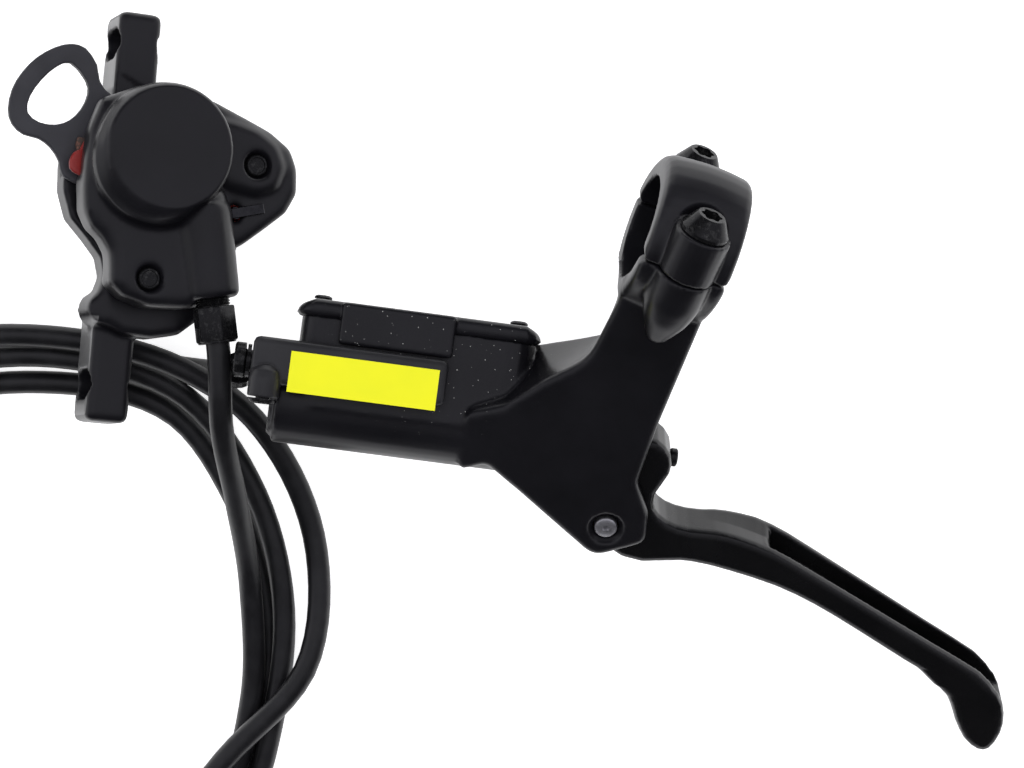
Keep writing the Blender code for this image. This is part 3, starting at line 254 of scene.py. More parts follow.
class Shader:
    """Node graph of one material, with short calls for the nodes that the finishes share."""

    def __init__(self, name: str) -> None:
        """Start a material with one Principled shader.

        Args:
            name: Name of the material.
        """
        self.material = bpy.data.materials.new(name)
        self.material.use_nodes = True
        self.tree = self.material.node_tree
        self.surface = self.tree.nodes["Principled BSDF"]
        self.output = self.tree.nodes["Material Output"]
        self.coords = self.tree.nodes.new("ShaderNodeTexCoord").outputs["Object"]

    def link(self, source: bpy.types.NodeSocket, target: bpy.types.NodeSocket) -> None:
        """Join two sockets.

        Args:
            source: The output.
            target: The input.
        """
        self.tree.links.new(source, target)

    def set(self, **values: object) -> "Shader":
        """Set inputs of the surface by name, with underscores for spaces.

        Args:
            **values: A number, a colour or a socket for each input.

        Returns:
            This shader.
        """
        for key, value in values.items():
            socket = self.surface.inputs[key.replace("_", " ")]
            if isinstance(value, bpy.types.NodeSocket):
                self.link(value, socket)
            elif isinstance(value, tuple) and len(value) == 3:
                socket.default_value = (*value, 1.0)
            else:
                socket.default_value = value
        return self

    def mapped(self, scale: Point, place: Matrix | None = None) -> bpy.types.NodeSocket:
        """Object coordinates in a frame, stretched.

        Args:
            scale: Scale along the three axes of that frame.
            place: The frame, in millimetres, or None for the piece's own axes.

        Returns:
            The coordinates.
        """
        found = self.coords
        if place is not None:
            inverse = place.inverted()
            node = self.tree.nodes.new("ShaderNodeMapping")
            node.inputs["Location"].default_value = inverse.to_translation() * MM
            node.inputs["Rotation"].default_value = inverse.to_euler()
            self.link(found, node.inputs["Vector"])
            found = node.outputs["Vector"]
        node = self.tree.nodes.new("ShaderNodeMapping")
        node.inputs["Scale"].default_value = scale
        self.link(found, node.inputs["Vector"])
        return node.outputs["Vector"]

    def noise(self, scale: float, detail: float = 3.0, rough: float = 0.5,
              vector: bpy.types.NodeSocket | None = None) -> bpy.types.NodeSocket:
        """Noise from 0 to 1.

        Args:
            scale: Features per metre.
            detail: Octaves.
            rough: How strong the finer octaves are.
            vector: Coordinates, or None for the piece's own.

        Returns:
            The noise.
        """
        node = self.tree.nodes.new("ShaderNodeTexNoise")
        node.inputs["Scale"].default_value = scale
        node.inputs["Detail"].default_value = detail
        node.inputs["Roughness"].default_value = rough
        self.link(vector or self.coords, node.inputs["Vector"])
        return node.outputs["Fac"]

    def cells(self, scale: float, vector: bpy.types.NodeSocket | None = None) -> bpy.types.NodeSocket:
        """Distance to the nearest of scattered points.

        Args:
            scale: Points per metre.
            vector: Coordinates, or None for the piece's own.

        Returns:
            The distance, in cells.
        """
        node = self.tree.nodes.new("ShaderNodeTexVoronoi")
        node.inputs["Scale"].default_value = scale
        self.link(vector or self.coords, node.inputs["Vector"])
        return node.outputs["Distance"]

    def remap(self, value: bpy.types.NodeSocket, low: float, high: float, to_low: float,
              to_high: float) -> bpy.types.NodeSocket:
        """Map a range to another, clamped.

        Args:
            value: The value to map.
            low: Lower end of the range that comes in.
            high: Upper end of the range that comes in.
            to_low: What the lower end becomes.
            to_high: What the upper end becomes.

        Returns:
            The mapped value.
        """
        return map_range(self.tree, value, (low, high), (to_low, to_high))

    def blend(self, amount: bpy.types.NodeSocket, first: Point | bpy.types.NodeSocket,
              second: Point | bpy.types.NodeSocket) -> bpy.types.NodeSocket:
        """Mix two colours.

        Args:
            amount: How much of the second colour shows.
            first: A colour.
            second: Another colour.

        Returns:
            The mixed colour.
        """
        node = self.tree.nodes.new("ShaderNodeMix")
        node.data_type = "RGBA"
        self.link(amount, node.inputs["Factor"])
        for key, colour in (("A", first), ("B", second)):
            socket = [item for item in node.inputs if item.name == key and item.type == "RGBA"][0]
            if isinstance(colour, bpy.types.NodeSocket):
                self.link(colour, socket)
            else:
                socket.default_value = (*colour, 1.0)
        return [item for item in node.outputs if item.type == "RGBA"][0]

    def maths(self, operation: str, first: bpy.types.NodeSocket | float,
              second: bpy.types.NodeSocket | float) -> bpy.types.NodeSocket:
        """Combine two numbers.

        Args:
            operation: Name of the Math node's operation.
            first: A number or socket.
            second: A number or socket.

        Returns:
            The result.
        """
        return combine(self.tree, operation, first, second)

    def bump(self, *layers: tuple[bpy.types.NodeSocket, float, float]) -> "Shader":
        """Roughen the surface with layers of relief.

        Args:
            *layers: For each layer its height from 0 to 1, its strength and its depth in millimetres.

        Returns:
            This shader.
        """
        below = None
        for height, strength, depth in layers:
            node = self.tree.nodes.new("ShaderNodeBump")
            node.inputs["Strength"].default_value = strength
            node.inputs["Distance"].default_value = depth * MM
            self.link(height, node.inputs["Height"])
            if below is not None:
                self.link(below, node.inputs["Normal"])
            below = node.outputs["Normal"]
        self.link(below, self.surface.inputs["Normal"])
        return self


@dataclass(frozen=True)
class Finish:
    """A finish of one kind; each kind builds its own node graph."""

    name: str

    def make(self) -> bpy.types.Material:
        """Build the material.

        Returns:
            The material.

        Raises:
            NotImplementedError: Each kind of finish has its own.
        """
        raise NotImplementedError


@dataclass(frozen=True)
class BlackPaint(Finish):
    """Satin black paint on a casting, with a fine orange peel and a little dust."""

    name: str = "satin_black_paint"
    colour: Point = (0.0036, 0.0035, 0.0046)
    gloss: float = 0.34
    bare: tuple[Matrix, float] | None = None
    dust: float = 0.0
    dust_at: Point = (0.0, 0.0, 0.0)
    dust_reach: float = 20.0

    def make(self) -> bpy.types.Material:
        """Build the paint.

        Returns:
            The material.
        """
        shader = Shader(self.name)
        patches = shader.noise(45, 4, 0.6)
        grain = shader.noise(2600, 2, 0.5)
        peel = shader.noise(900, 2, 0.4)
        lighter = tuple(channel * 1.8 for channel in self.colour)
        colour = shader.blend(shader.remap(patches, 0.35, 0.7, 0, 1), self.colour, lighter)
        rough = shader.remap(patches, 0.3, 0.7, self.gloss - 0.04, self.gloss + 0.06)
        if self.dust > 0:
            specks = shader.remap(shader.cells(1150), 0.115, 0.075, 0, 1)
            kept = shader.remap(shader.noise(420, 1), 0.5, 0.52, 0, 1)
            near = self.near(shader)
            amount = shader.maths("MULTIPLY", shader.maths("MULTIPLY", specks, kept),
                                  shader.maths("MULTIPLY", near, self.dust))
            colour = shader.blend(amount, colour, (0.62, 0.62, 0.6))
            rough = shader.maths("ADD", rough, shader.maths("MULTIPLY", amount, 0.5))
        if self.bare is not None:
            face = self.milled(shader)
            colour = shader.blend(face, colour, (0.3, 0.3, 0.3))
            lines = shader.noise(1.0, 2, 0.6, shader.mapped((2600.0, 200.0, 2600.0), self.bare[0]))
            milled = shader.maths("MULTIPLY", shader.maths("MULTIPLY", lines, 0.2), face)
            rough = shader.maths("ADD", rough, milled)
            shader.set(Metallic=face)
        shader.set(Base_Color=colour, Roughness=rough, Specular_IOR_Level=0.5)
        shader.bump((peel, 0.10, 0.05), (grain, 0.10, 0.02))
        return shader.material

    def milled(self, shader: Shader) -> bpy.types.NodeSocket:
        """Where the paint was milled away.

        Args:
            shader: The shader in hand.

        Returns:
            1 on the milled side of the plane and 0 on the painted side.
        """
        place, plane = self.bare
        split = shader.tree.nodes.new("ShaderNodeSeparateXYZ")
        shader.link(shader.mapped((1.0, 1.0, 1.0), place), split.inputs["Vector"])
        face = shader.remap(split.outputs["X"], (plane + 0.22) * MM, (plane + 0.12) * MM, 0, 1)
        upper = shader.remap(split.outputs["Y"], 14 * MM, 15 * MM, 0, 1)
        lower = shader.remap(split.outputs["Y"], -35 * MM, -36 * MM, 0, 1)
        return shader.maths("MULTIPLY", face, shader.maths("MAXIMUM", upper, lower))

    def near(self, shader: Shader) -> bpy.types.NodeSocket:
        """Where the dust lies.

        Args:
            shader: The shader in hand.

        Returns:
            1 at the dusty place, falling to 0 at its reach.
        """
        node = shader.tree.nodes.new("ShaderNodeVectorMath")
        node.operation = "DISTANCE"
        shader.link(shader.coords, node.inputs[0])
        node.inputs[1].default_value = Vector(self.dust_at) * MM
        return shader.remap(node.outputs["Value"], self.dust_reach * MM * 0.6, self.dust_reach * MM, 1, 0)


@dataclass(frozen=True)
class MattPlastic(Finish):
    """Moulded plastic with a spark-eroded grain."""

    name: str = "matt_black_plastic"
    colour: Point = (0.011, 0.011, 0.0125)
    gloss: float = 0.42

    def make(self) -> bpy.types.Material:
        """Build the plastic.

        Returns:
            The material.
        """
        shader = Shader(self.name)
        patches = shader.noise(80, 3, 0.5)
        grain = shader.noise(3200, 2, 0.6)
        lighter = tuple(channel * 1.6 for channel in self.colour)
        shader.set(Base_Color=shader.blend(shader.remap(patches, 0.35, 0.7, 0, 1), self.colour, lighter),
                   Roughness=shader.remap(patches, 0.3, 0.7, self.gloss - 0.04, self.gloss + 0.06))
        shader.bump((grain, 0.22, 0.02))
        return shader.material


@dataclass(frozen=True)
class Steel(Finish):
    """Steel, brushed along one axis of a frame, bare or blackened."""

    name: str = "bare_steel"
    colour: Point = (0.55, 0.55, 0.54)
    gloss: float = 0.3
    grain: Point = (900.0, 900.0, 60.0)
    place: Matrix | None = None

    def make(self) -> bpy.types.Material:
        """Build the steel.

        Returns:
            The material.
        """
        shader = Shader(self.name)
        lines = shader.noise(1.0, 3, 0.6, shader.mapped(self.grain, self.place))
        blots = shader.noise(500, 3, 0.6)
        darker = tuple(channel * 0.62 for channel in self.colour)
        shader.set(Base_Color=shader.blend(shader.remap(blots, 0.35, 0.75, 0, 1), self.colour, darker),
                   Metallic=1.0,
                   Roughness=shader.remap(lines, 0.25, 0.75, self.gloss - 0.1, self.gloss + 0.12))
        shader.bump((lines, 0.12, 0.02))
        return shader.material


@dataclass(frozen=True)
class BlackSteel(Finish):
    """Blackened steel: nearly black and fairly glossy, with a few lighter blots and fine scratches."""

    name: str = "black_steel"
    colour: Point = (0.01, 0.01, 0.011)
    gloss: float = 0.22

    def make(self) -> bpy.types.Material:
        """Build the blackened steel.

        Returns:
            The material.
        """
        shader = Shader(self.name)
        blots = shader.noise(900, 4, 0.7)
        scratches = shader.noise(1.0, 2, 0.6, shader.mapped((3000.0, 300.0, 900.0)))
        colour = shader.blend(shader.remap(blots, 0.52, 0.78, 0, 1), self.colour, (0.06, 0.06, 0.06))
        shader.set(Base_Color=colour,
                   Metallic=0.55,
                   Roughness=shader.remap(scratches, 0.3, 0.7, self.gloss - 0.08, self.gloss + 0.14))
        shader.bump((blots, 0.18, 0.03), (scratches, 0.10, 0.02))
        return shader.material


@dataclass(frozen=True)
class Rubber(Finish):
    """Rubber or hose jacket with a fine grain, lighter scuffs and, where asked, a coarser relief."""

    name: str = "rubber"
    colour: Point = (0.006, 0.006, 0.0065)
    gloss: float = 0.55
    streaks: bool = False

    def make(self) -> bpy.types.Material:
        """Build the rubber.

        Returns:
            The material.
        """
        shader = Shader(self.name)
        grain = shader.noise(1500, 3, 0.6)
        scuffs = shader.noise(160, 4, 0.65)
        lighter = tuple(channel * 2.0 for channel in self.colour)
        shader.set(Base_Color=shader.blend(shader.remap(scuffs, 0.4, 0.75, 0, 1), self.colour, lighter),
                   Roughness=shader.remap(scuffs, 0.3, 0.7, self.gloss - 0.05, self.gloss + 0.08))
        layers = [(grain, 0.12, 0.02)]
        if self.streaks:
            layers.append((shader.noise(260, 2, 0.5), 0.12, 0.08))
        shader.bump(*layers)
        return shader.material


@dataclass(frozen=True)
class RedPaint(Finish):
    """Baked red paint with a slight speckle and darker patches."""

    name: str = "red_pad_paint"
    colour: Point = (0.2, 0.012, 0.01)
    darker: Point = (0.13, 0.008, 0.007)

    def make(self) -> bpy.types.Material:
        """Build the red paint.

        Returns:
            The material.
        """
        shader = Shader(self.name)
        specks = shader.noise(1800, 3, 0.6)
        patches = shader.noise(220, 3, 0.5)
        colour = shader.blend(shader.remap(patches, 0.3, 0.75, 0, 1), self.colour, self.darker)
        colour = shader.blend(shader.remap(specks, 0.66, 0.74, 0, 0.6), colour, (0.4, 0.1, 0.09))
        shader.set(Base_Color=colour, Roughness=shader.remap(patches, 0.3, 0.7, 0.34, 0.46))
        shader.bump((specks, 0.2, 0.03))
        return shader.material


@dataclass(frozen=True)
class Lining(Finish):
    """Pressed friction compound with metal and resin flecks."""

    name: str = "pad_lining"

    def make(self) -> bpy.types.Material:
        """Build the lining.

        Returns:
            The material.
        """
        shader = Shader(self.name)
        grains = shader.cells(1500)
        fine = shader.noise(2600, 3, 0.7)
        colour = shader.blend(shader.remap(grains, 0.1, 0.6, 0, 1), (0.16, 0.07, 0.05), (0.05, 0.035, 0.03))
        colour = shader.blend(shader.remap(fine, 0.68, 0.72, 0, 1), colour, (0.5, 0.38, 0.26))
        shader.set(Base_Color=colour, Roughness=0.85)
        shader.bump((grains, 0.5, 0.06), (fine, 0.3, 0.03))
        return shader.material


@dataclass(frozen=True)
class Sticker(Finish):
    """Blank yellow vinyl with a faint relief and a slightly uneven tone."""

    name: str = "yellow_vinyl"

    def make(self) -> bpy.types.Material:
        """Build the vinyl.

        Returns:
            The material.
        """
        shader = Shader(self.name)
        tone = shader.noise(120, 2, 0.5)
        fine = shader.noise(900, 3, 0.6)
        colour = shader.blend(shader.remap(tone, 0.3, 0.7, 0, 1), (0.86, 0.85, 0.002), (0.81, 0.82, 0.004))
        shader.set(Base_Color=colour, Roughness=shader.remap(fine, 0.3, 0.7, 0.3, 0.4),
                   Specular_IOR_Level=0.25)
        shader.bump((tone, 0.1, 0.1), (fine, 0.05, 0.01))
        return shader.material


class Finishes:
    """Every finish that the brake uses."""

    def __init__(self) -> None:
        """Build each material once."""
        wall = BENCH.reservoir @ Vector((-40, 21, 12))
        self.paint = BlackPaint("caliper_paint").make()
        self.ear_paint = BlackPaint("inner_half_paint", bare=(BENCH.caliper, -8.0)).make()
        self.body_paint = BlackPaint("lever_body_paint", dust=0.9, dust_at=tuple(wall), dust_reach=27).make()
        self.blade_paint = BlackPaint("blade_paint", colour=(0.002, 0.002, 0.0022), gloss=0.24).make()
        self.plastic = MattPlastic("switch_plastic").make()
        self.spacer = MattPlastic("spacer_plastic", colour=(0.02, 0.02, 0.024), gloss=0.5).make()
        self.black_steel = BlackSteel().make()
        self.steel = Steel("zinc_steel").make()
        self.pin_steel = Steel("pin_steel", colour=(0.86, 0.86, 0.87), gloss=0.44, grain=(60.0, 60.0, 60.0),
                               place=BENCH.lever).make()
        self.aluminium = Steel("bare_aluminium", colour=(0.7, 0.7, 0.71), gloss=0.32).make()
        self.brass = Steel("turned_brass", colour=(0.6, 0.42, 0.17), gloss=0.3).make()
        self.rubber = Rubber("seal_rubber").make()
        self.split_pin = Steel("split_pin_steel", colour=(0.06, 0.06, 0.065), gloss=0.26).make()
        self.hose = Rubber("hose_jacket", colour=(0.006, 0.006, 0.0068), gloss=0.36, streaks=True).make()
        self.red = RedPaint().make()
        self.lining = Lining().make()
        self.sticker = Sticker().make()


# Making pieces


def lathe(profile: list[tuple[float, float]], sides: int = 48) -> bmesh.types.BMesh:
    """Spin a profile about Z into a closed solid.

    Args:
        profile: Points of (radius, height), from one end on the axis to the other.
        sides: Steps round the axis.

    Returns:
        The solid.
    """
    shape = bmesh.new()
    points = [shape.verts.new((radius, 0, height)) for radius, height in profile]
    edges = [shape.edges.new(pair) for pair in zip(points, points[1:])]
    bmesh.ops.spin(shape, geom=points + edges, cent=(0, 0, 0), axis=(0, 0, 1), angle=math.tau, steps=sides,
                   use_merge=True)
    bmesh.ops.remove_doubles(shape, verts=shape.verts, dist=1e-4)
    bmesh.ops.recalc_face_normals(shape, faces=shape.faces)
    return shape


def bar(radius: float, low: float, high: float, sides: int = 48,
        top: float | None = None) -> bmesh.types.BMesh:
    """Round or many-sided bar along Z.

    Args:
        radius: Radius at the low end.
        low: Height of the low end.
        high: Height of the high end.
        sides: Number of sides.
        top: Radius at the high end, or None for the same.

    Returns:
        The bar.
    """
    shape = bmesh.new()
    bmesh.ops.create_cone(shape, cap_ends=True, segments=sides, radius1=radius,
                          radius2=radius if top is None else top, depth=high - low)
    bmesh.ops.translate(shape, verts=shape.verts, vec=(0, 0, (low + high) / 2))
    return shape


def bevelled(shape: bmesh.types.BMesh, width: float, sharp: float = 30.0,
             segments: int = 3) -> bmesh.types.BMesh:
    """Round the sharp edges of a shape.

    Args:
        shape: The shape, which is changed.
        width: Width of the bevel.
        sharp: Edges with a larger angle than this, in degrees, are rounded.
        segments: Steps across each bevel.

    Returns:
        The same shape.
    """
    limit = math.radians(sharp)
    edges = [edge for edge in shape.edges if len(edge.link_faces) == 2 and edge.calc_face_angle() > limit]
    bmesh.ops.bevel(shape, geom=edges, offset=width, segments=segments, profile=0.5, affect="EDGES",
                    clamp_overlap=True, material=-1)
    return shape


def piece(name: str, shape: bmesh.types.BMesh, place: Matrix, finish: bpy.types.Material, body: str,
          replaces: tuple[str, ...] = (), sharp: float = 35.0) -> bpy.types.Object:
    """Make an object of a shape, with its place in its mesh.

    Args:
        name: Name of the piece.
        shape: The shape in millimetres, which is used up.
        place: Frame that the shape is built in.
        finish: Its material.
        body: Body that it rides on.
        replaces: Nodes that it stands for.
        sharp: Edges beyond this angle, in degrees, are shaded sharp.

    Returns:
        The object.
    """
    bmesh.ops.transform(shape, matrix=Matrix.Scale(MM, 4) @ place, verts=shape.verts)
    mesh = bpy.data.meshes.new(name)
    shape.to_mesh(mesh)
    shape.free()
    made = bpy.data.objects.new(name, mesh)
    bpy.context.scene.collection.objects.link(made)
    return dress(made, finish, body, replaces, sharp)


def dress(made: bpy.types.Object, finish: bpy.types.Material, body: str,
          replaces: tuple[str, ...] = (), sharp: float = 35.0) -> bpy.types.Object:
    """Give an object its material, shading and body.

    Args:
        made: The object.
        finish: Its material.
        body: Body that it rides on.
        replaces: Nodes that it stands for.
        sharp: Edges beyond this angle, in degrees, are shaded sharp.

    Returns:
        The object.
    """
    made.data.materials.clear()
    made.data.materials.append(finish)
    if made.type == "MESH":
        made.data.shade_smooth()
        made.data.set_sharp_from_angle(angle=math.radians(sharp))
    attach(made, body)
    if replaces:
        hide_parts(*replaces)
    LOG.info("made %s on %s", made.name, body)
    return made


@dataclass(frozen=True)
class Blend:
    """An egg-shaped zone of a casting where its walls run into each other with a wide fillet."""

    place: Matrix
    centre: Point
    reach: Point
    passes: int

    def weight(self, local: Vector) -> float:
        """How strongly a point is smoothed.

        Args:
            local: The point, from the zone's centre, in millimetres.

        Returns:
            1 in the middle of the zone, falling to 0 at its edge.
        """
        far = math.sqrt(sum((value / size) ** 2 for value, size in zip(local, self.reach)))
        near = share(far, 1.0, 0.6)
        return near * near * (3 - 2 * near)


@dataclass(frozen=True)
class Cone:
    """Extra metal that fills a corner of a casting: a truncated cone along Z of its frame."""

    place: Matrix
    low: float
    high: float
    foot: float
    top: float

    def add(self, shape: bmesh.types.BMesh) -> None:
        """Put the cone into a shape, to be joined with it.

        Args:
            shape: The casting's shape, in metres.
        """
        middle = Matrix.Translation((0, 0, (self.low + self.high) / 2))
        bmesh.ops.create_cone(shape, cap_ends=True, segments=64, radius1=self.foot, radius2=self.top,
                              depth=self.high - self.low, matrix=Matrix.Scale(MM, 4) @ self.place @ middle)


@dataclass
class Casting:
    """A cast or moulded piece: a solid with its edges and corners softened as in the mould."""

    node: str
    grid: float = 0.5
    passes: int = 10
    faces: int = 150000
    grow: float = 0.0
    cones: tuple[Cone, ...] = ()
    blends: tuple[Blend, ...] = ()
    form: Callable[[Vector], Vector] | None = None

    def shape(self, nodes: dict[str, bpy.types.Object]) -> bpy.types.Object:
        """Soften a copy of the node's solid.

        Args:
            nodes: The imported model's nodes.

        Returns:
            An object with the softened mesh, linked to the scene.
        """
        copy = bmesh.new()
        copy.from_mesh(nodes[self.node].data)
        bmesh.ops.remove_doubles(copy, verts=copy.verts, dist=2e-6)
        for cone in self.cones:
            cone.add(copy)
        mesh = bpy.data.meshes.new(self.node + "_cast")
        copy.to_mesh(mesh)
        copy.free()
        made = bpy.data.objects.new(self.node + "_cast", mesh)
        bpy.context.scene.collection.objects.link(made)
        remesh = made.modifiers.new("grid", "REMESH")
        remesh.mode = "VOXEL"
        remesh.voxel_size = self.grid * MM
        if self.grow > 0:
            swell = made.modifiers.new("swell", "DISPLACE")
            swell.strength = self.grow * MM
            swell.mid_level = 0.0
        soft = made.modifiers.new("soft", "SMOOTH")
        soft.factor = 0.5
        soft.iterations = self.passes
        self.apply(made)
        for blend in self.blends:
            self.fillet(made, blend)
        if self.form is not None:
            for vert in made.data.vertices:
                vert.co = self.form(vert.co / MM) * MM
        count = sum(len(face.vertices) - 2 for face in made.data.polygons)
        if count > self.faces:
            thin = made.modifiers.new("thin", "DECIMATE")
            thin.ratio = self.faces / count
            self.apply(made)
        return made

    def make(self, nodes: dict[str, bpy.types.Object], finish: bpy.types.Material, body: str, slot: Slot,
             sharp: float = 180.0) -> bpy.types.Object:
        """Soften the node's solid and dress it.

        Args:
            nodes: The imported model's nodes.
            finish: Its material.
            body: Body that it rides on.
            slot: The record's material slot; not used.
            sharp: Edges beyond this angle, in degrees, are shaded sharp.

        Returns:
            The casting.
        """
        return dress(self.shape(nodes), finish, body, (self.node,), sharp)

    def fillet(self, made: bpy.types.Object, blend: Blend) -> None:
        """Smooth one zone of the casting.

        Args:
            made: The casting.
            blend: The zone.
        """
        group = made.vertex_groups.new(name="zone")
        place = blend.place.inverted()
        centre = Vector(blend.centre)
        for vert in made.data.vertices:
            local = place @ (vert.co / MM) - centre
            weight = blend.weight(local)
            if weight > 0:
                group.add([vert.index], weight, "REPLACE")
        soft = made.modifiers.new("fillet", "SMOOTH")
        soft.factor = 0.5
        soft.iterations = blend.passes
        soft.vertex_group = group.name
        self.apply(made)
        made.vertex_groups.clear()

    @staticmethod
    def apply(made: bpy.types.Object) -> None:
        """Turn an object's modifiers into its mesh.

        Args:
            made: The object.
        """
        graph = bpy.context.evaluated_depsgraph_get()
        mesh = bpy.data.meshes.new_from_object(made.evaluated_get(graph))
        mesh.name = made.name
        made.modifiers.clear()
        made.data = mesh


# Sub-assemblies


@dataclass
class LeverUnit:
    """Lever body with its clamp, blade, pivot and the small parts that show on it."""

    nodes: dict[str, bpy.types.Object]
    finishes: Finishes
    pin_radius: float = 2.5
    pin_top: float = 9.1
    bolt_spread: float = 14.7
    bolt_seat: float = 10.05
    head_height: float = 4.2
    arm_middle: ClassVar[float] = 4.5
    arm_taper: ClassVar[float] = 0.42
    band_side: ClassVar[float] = -9.0
    band_inside: ClassVar[float] = 12.6
    band_swell: ClassVar[float] = 2.4
    blade_lift: ClassVar[float] = 1.7
    root_fill: ClassVar[float] = 1.3

    def build(self) -> None:
        """Make every piece of the lever unit."""
        self.castings()
        self.pivot()
        self.reach_screw()
        self.spring()
        for side, word in ((-1, "lower"), (1, "upper")):
            self.clamp_bolt(side, word)

    def castings(self) -> None:
        """Body, clamp cap and blade."""
        reservoir, clamp = BENCH.reservoir, BENCH.clamp
        blends = (Blend(reservoir, (-15.0, 0.0, 9.0), (20.0, 8.5, 10.0), 120),
                  Blend(clamp, (0.0, -9.0, 14.0), (11.0, 9.0, 9.0), 60))
        body = Casting("lever_body", 0.45, 10, blends=blends, form=self.draft)
        body.make(self.nodes, self.finishes.body_paint, "housing", Slot.CASTING)
        lugs = (Blend(clamp, (0.0, 4.5, 14.0), (12.0, 6.5, 8.0), 40),)
        cap = Casting("clamp_cap", 0.3, 9, blends=lugs, form=self.crown)
        cap.make(self.nodes, self.finishes.paint, "housing", Slot.CASTING)
        lever = BENCH.lever
        scoop = (Cone(lever @ shift(35.3, -4.6, 0), -3.6, 3.0, 2.2, 2.2),
                 Cone(lever @ shift(34.2, -4.2, 0), -3.6, 3.0, 2.1, 2.1))
        blade = Casting("lever_blade", 0.3, 4, cones=scoop, form=self.sweep)
        blade.make(self.nodes, self.finishes.blade_paint, "lever", Slot.CASTING)

    @staticmethod
    def draft(spot: Vector) -> Vector:
        """Narrow the back of the arm, as the mould's draft does.

        Args:
            spot: A point of the body, in millimetres.

        Returns:
            Where it comes to lie.
        """
        clamp = BENCH.clamp.inverted() @ spot
        side = LeverUnit.band_side
        if clamp.z < -4 and -14 < clamp.x < side and clamp.y > -12:
            clamp.x = side + (clamp.x - side) * 0.15
            return BENCH.clamp @ clamp
        local = BENCH.lever.inverted() @ spot
        rise = share(local.y, 24, 34) * share(local.y, 58, 50) * share(local.x, -20, -14)
        if rise > 0 and local.x < LeverUnit.arm_middle:
            deep = share(local.z, 8, -9)
            local.x += (LeverUnit.arm_middle - local.x) * LeverUnit.arm_taper * deep * rise
        return BENCH.lever @ local

    @staticmethod
    def sweep(spot: Vector) -> Vector:
        """Raise the blade's far edge, fill its root and spread the hook at its tip.

        Args:
            spot: A point of the blade, in millimetres.

        Returns:
            Where it comes to lie.
        """
        local = BENCH.lever.inverted() @ spot
        far = share(local.z, 0, -5.6)
        lift = share(local.x, 22, 34) * share(local.x, 92, 42)
        root = share(local.x, 18, 10) * share(local.x, 1, 5)
        tip = share(local.y, -28.5, -31.5) * share(local.x, 70, 78)
        local.y += LeverUnit.blade_lift * far * lift
        local.y -= LeverUnit.root_fill * root * share(local.y, -4.5, -6.5)
        left = share(local.x, 88, 82)
        local.x -= tip * left * (0.9 + 1.3 * far)
        local.y -= 0.8 * tip
        local.z += 0.35 * tip
        return BENCH.lever @ local

    @staticmethod
    def crown(spot: Vector) -> Vector:
        """Square the clamp band's round back a little, so that it turns down late.

        Args:
            spot: A point of the clamp cap, in millimetres.

        Returns:
            Where it comes to lie.
        """
        local = BENCH.clamp.inverted() @ spot
        radius = math.hypot(local.y, local.z)
        inside = LeverUnit.band_inside
        if local.y < 5 or radius < inside:
            return spot
        angle = math.degrees(math.atan2(local.y, local.z))
        swell = math.sin(math.pi * share(angle, 26, 138)) ** 2 * share(radius, inside, inside + 2)
        grown = 1 + LeverUnit.band_swell * swell * max(1 - (local.x / 13.0) ** 2, 0) / radius
        local.y *= grown
        local.z *= grown
        return BENCH.clamp @ local

    def pivot(self) -> None:
        """Pivot pin with a turned end and a shallow centre mark."""
        top = self.pin_top
        radius = self.pin_radius
        profile = [(0, -8.9), (radius, -8.9), (radius, top - 0.5), (radius - 0.15, top - 0.2),
                   (radius - 0.5, top), (0.75, top), (0.45, top - 0.45), (0, top - 0.55)]
        piece("pivot_pin_turned", lathe(profile), BENCH.lever, self.finishes.pin_steel, "housing",
              ("pivot_pin",))

    def spring(self) -> None:
        """Return spring, copied from the model's coil as a piece with a mesh of its own."""
        coil = bmesh.new()
        coil.from_mesh(self.nodes["return_spring"].data)
        bmesh.ops.scale(coil, verts=coil.verts, vec=(1 / MM, 1 / MM, 1 / MM))
        made = piece("return_spring_coil", coil, Matrix.Identity(4), self.finishes.steel, "housing",
                     ("return_spring",))
        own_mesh(made)

    def reach_screw(self) -> None:
        """Reach screw with its round nose and a socket in its head."""
        profile = [(0, 0.5), (0.9, 0.7), (1.6, 1.3), (2.0, 2.3)]
        height = 2.8
        while height < 12.2:
            profile += [(1.72, height), (1.98, height + 0.25)]
            height += 0.5
        profile += [(2.0, 13.1), (1.7, 13.4), (1.1, 13.4), (1.1, 12.0), (0, 11.8)]
        place = BENCH.lever @ shift(0, 14.5, 0) @ ALONG_X
        piece("reach_screw_threaded", lathe(profile, 32), place, self.finishes.black_steel, "adjuster",
              ("reach_screw",))

    def clamp_bolt(self, side: int, word: str) -> None:
        """Clamp bolt with a tapered head and a six-lobed socket.

        Args:
            side: 1 for the upper bolt and -1 for the lower one.
            word: Its name's last word.
        """
        seat = self.bolt_seat
        top = seat + self.head_height
        profile = [(0, -11), (2.1, -11), (2.5, -10.5), (2.5, seat), (4.9, seat), (5.1, seat + 0.2),
                   (5.1, seat + 0.9), (4.85, seat + 1.25), (3.15, top - 0.2), (2.9, top), (0, top)]
        bolt = lathe(profile, 60)
        self.socket(bolt, 2.3, top, 2.6)
        place = BENCH.clamp @ shift(0, 0, side * self.bolt_spread) @ ALONG_Y
        piece("clamp_bolt_" + word + "_turned", bolt, place, self.finishes.black_steel, "housing",
              ("clamp_bolt_" + word,), 28)

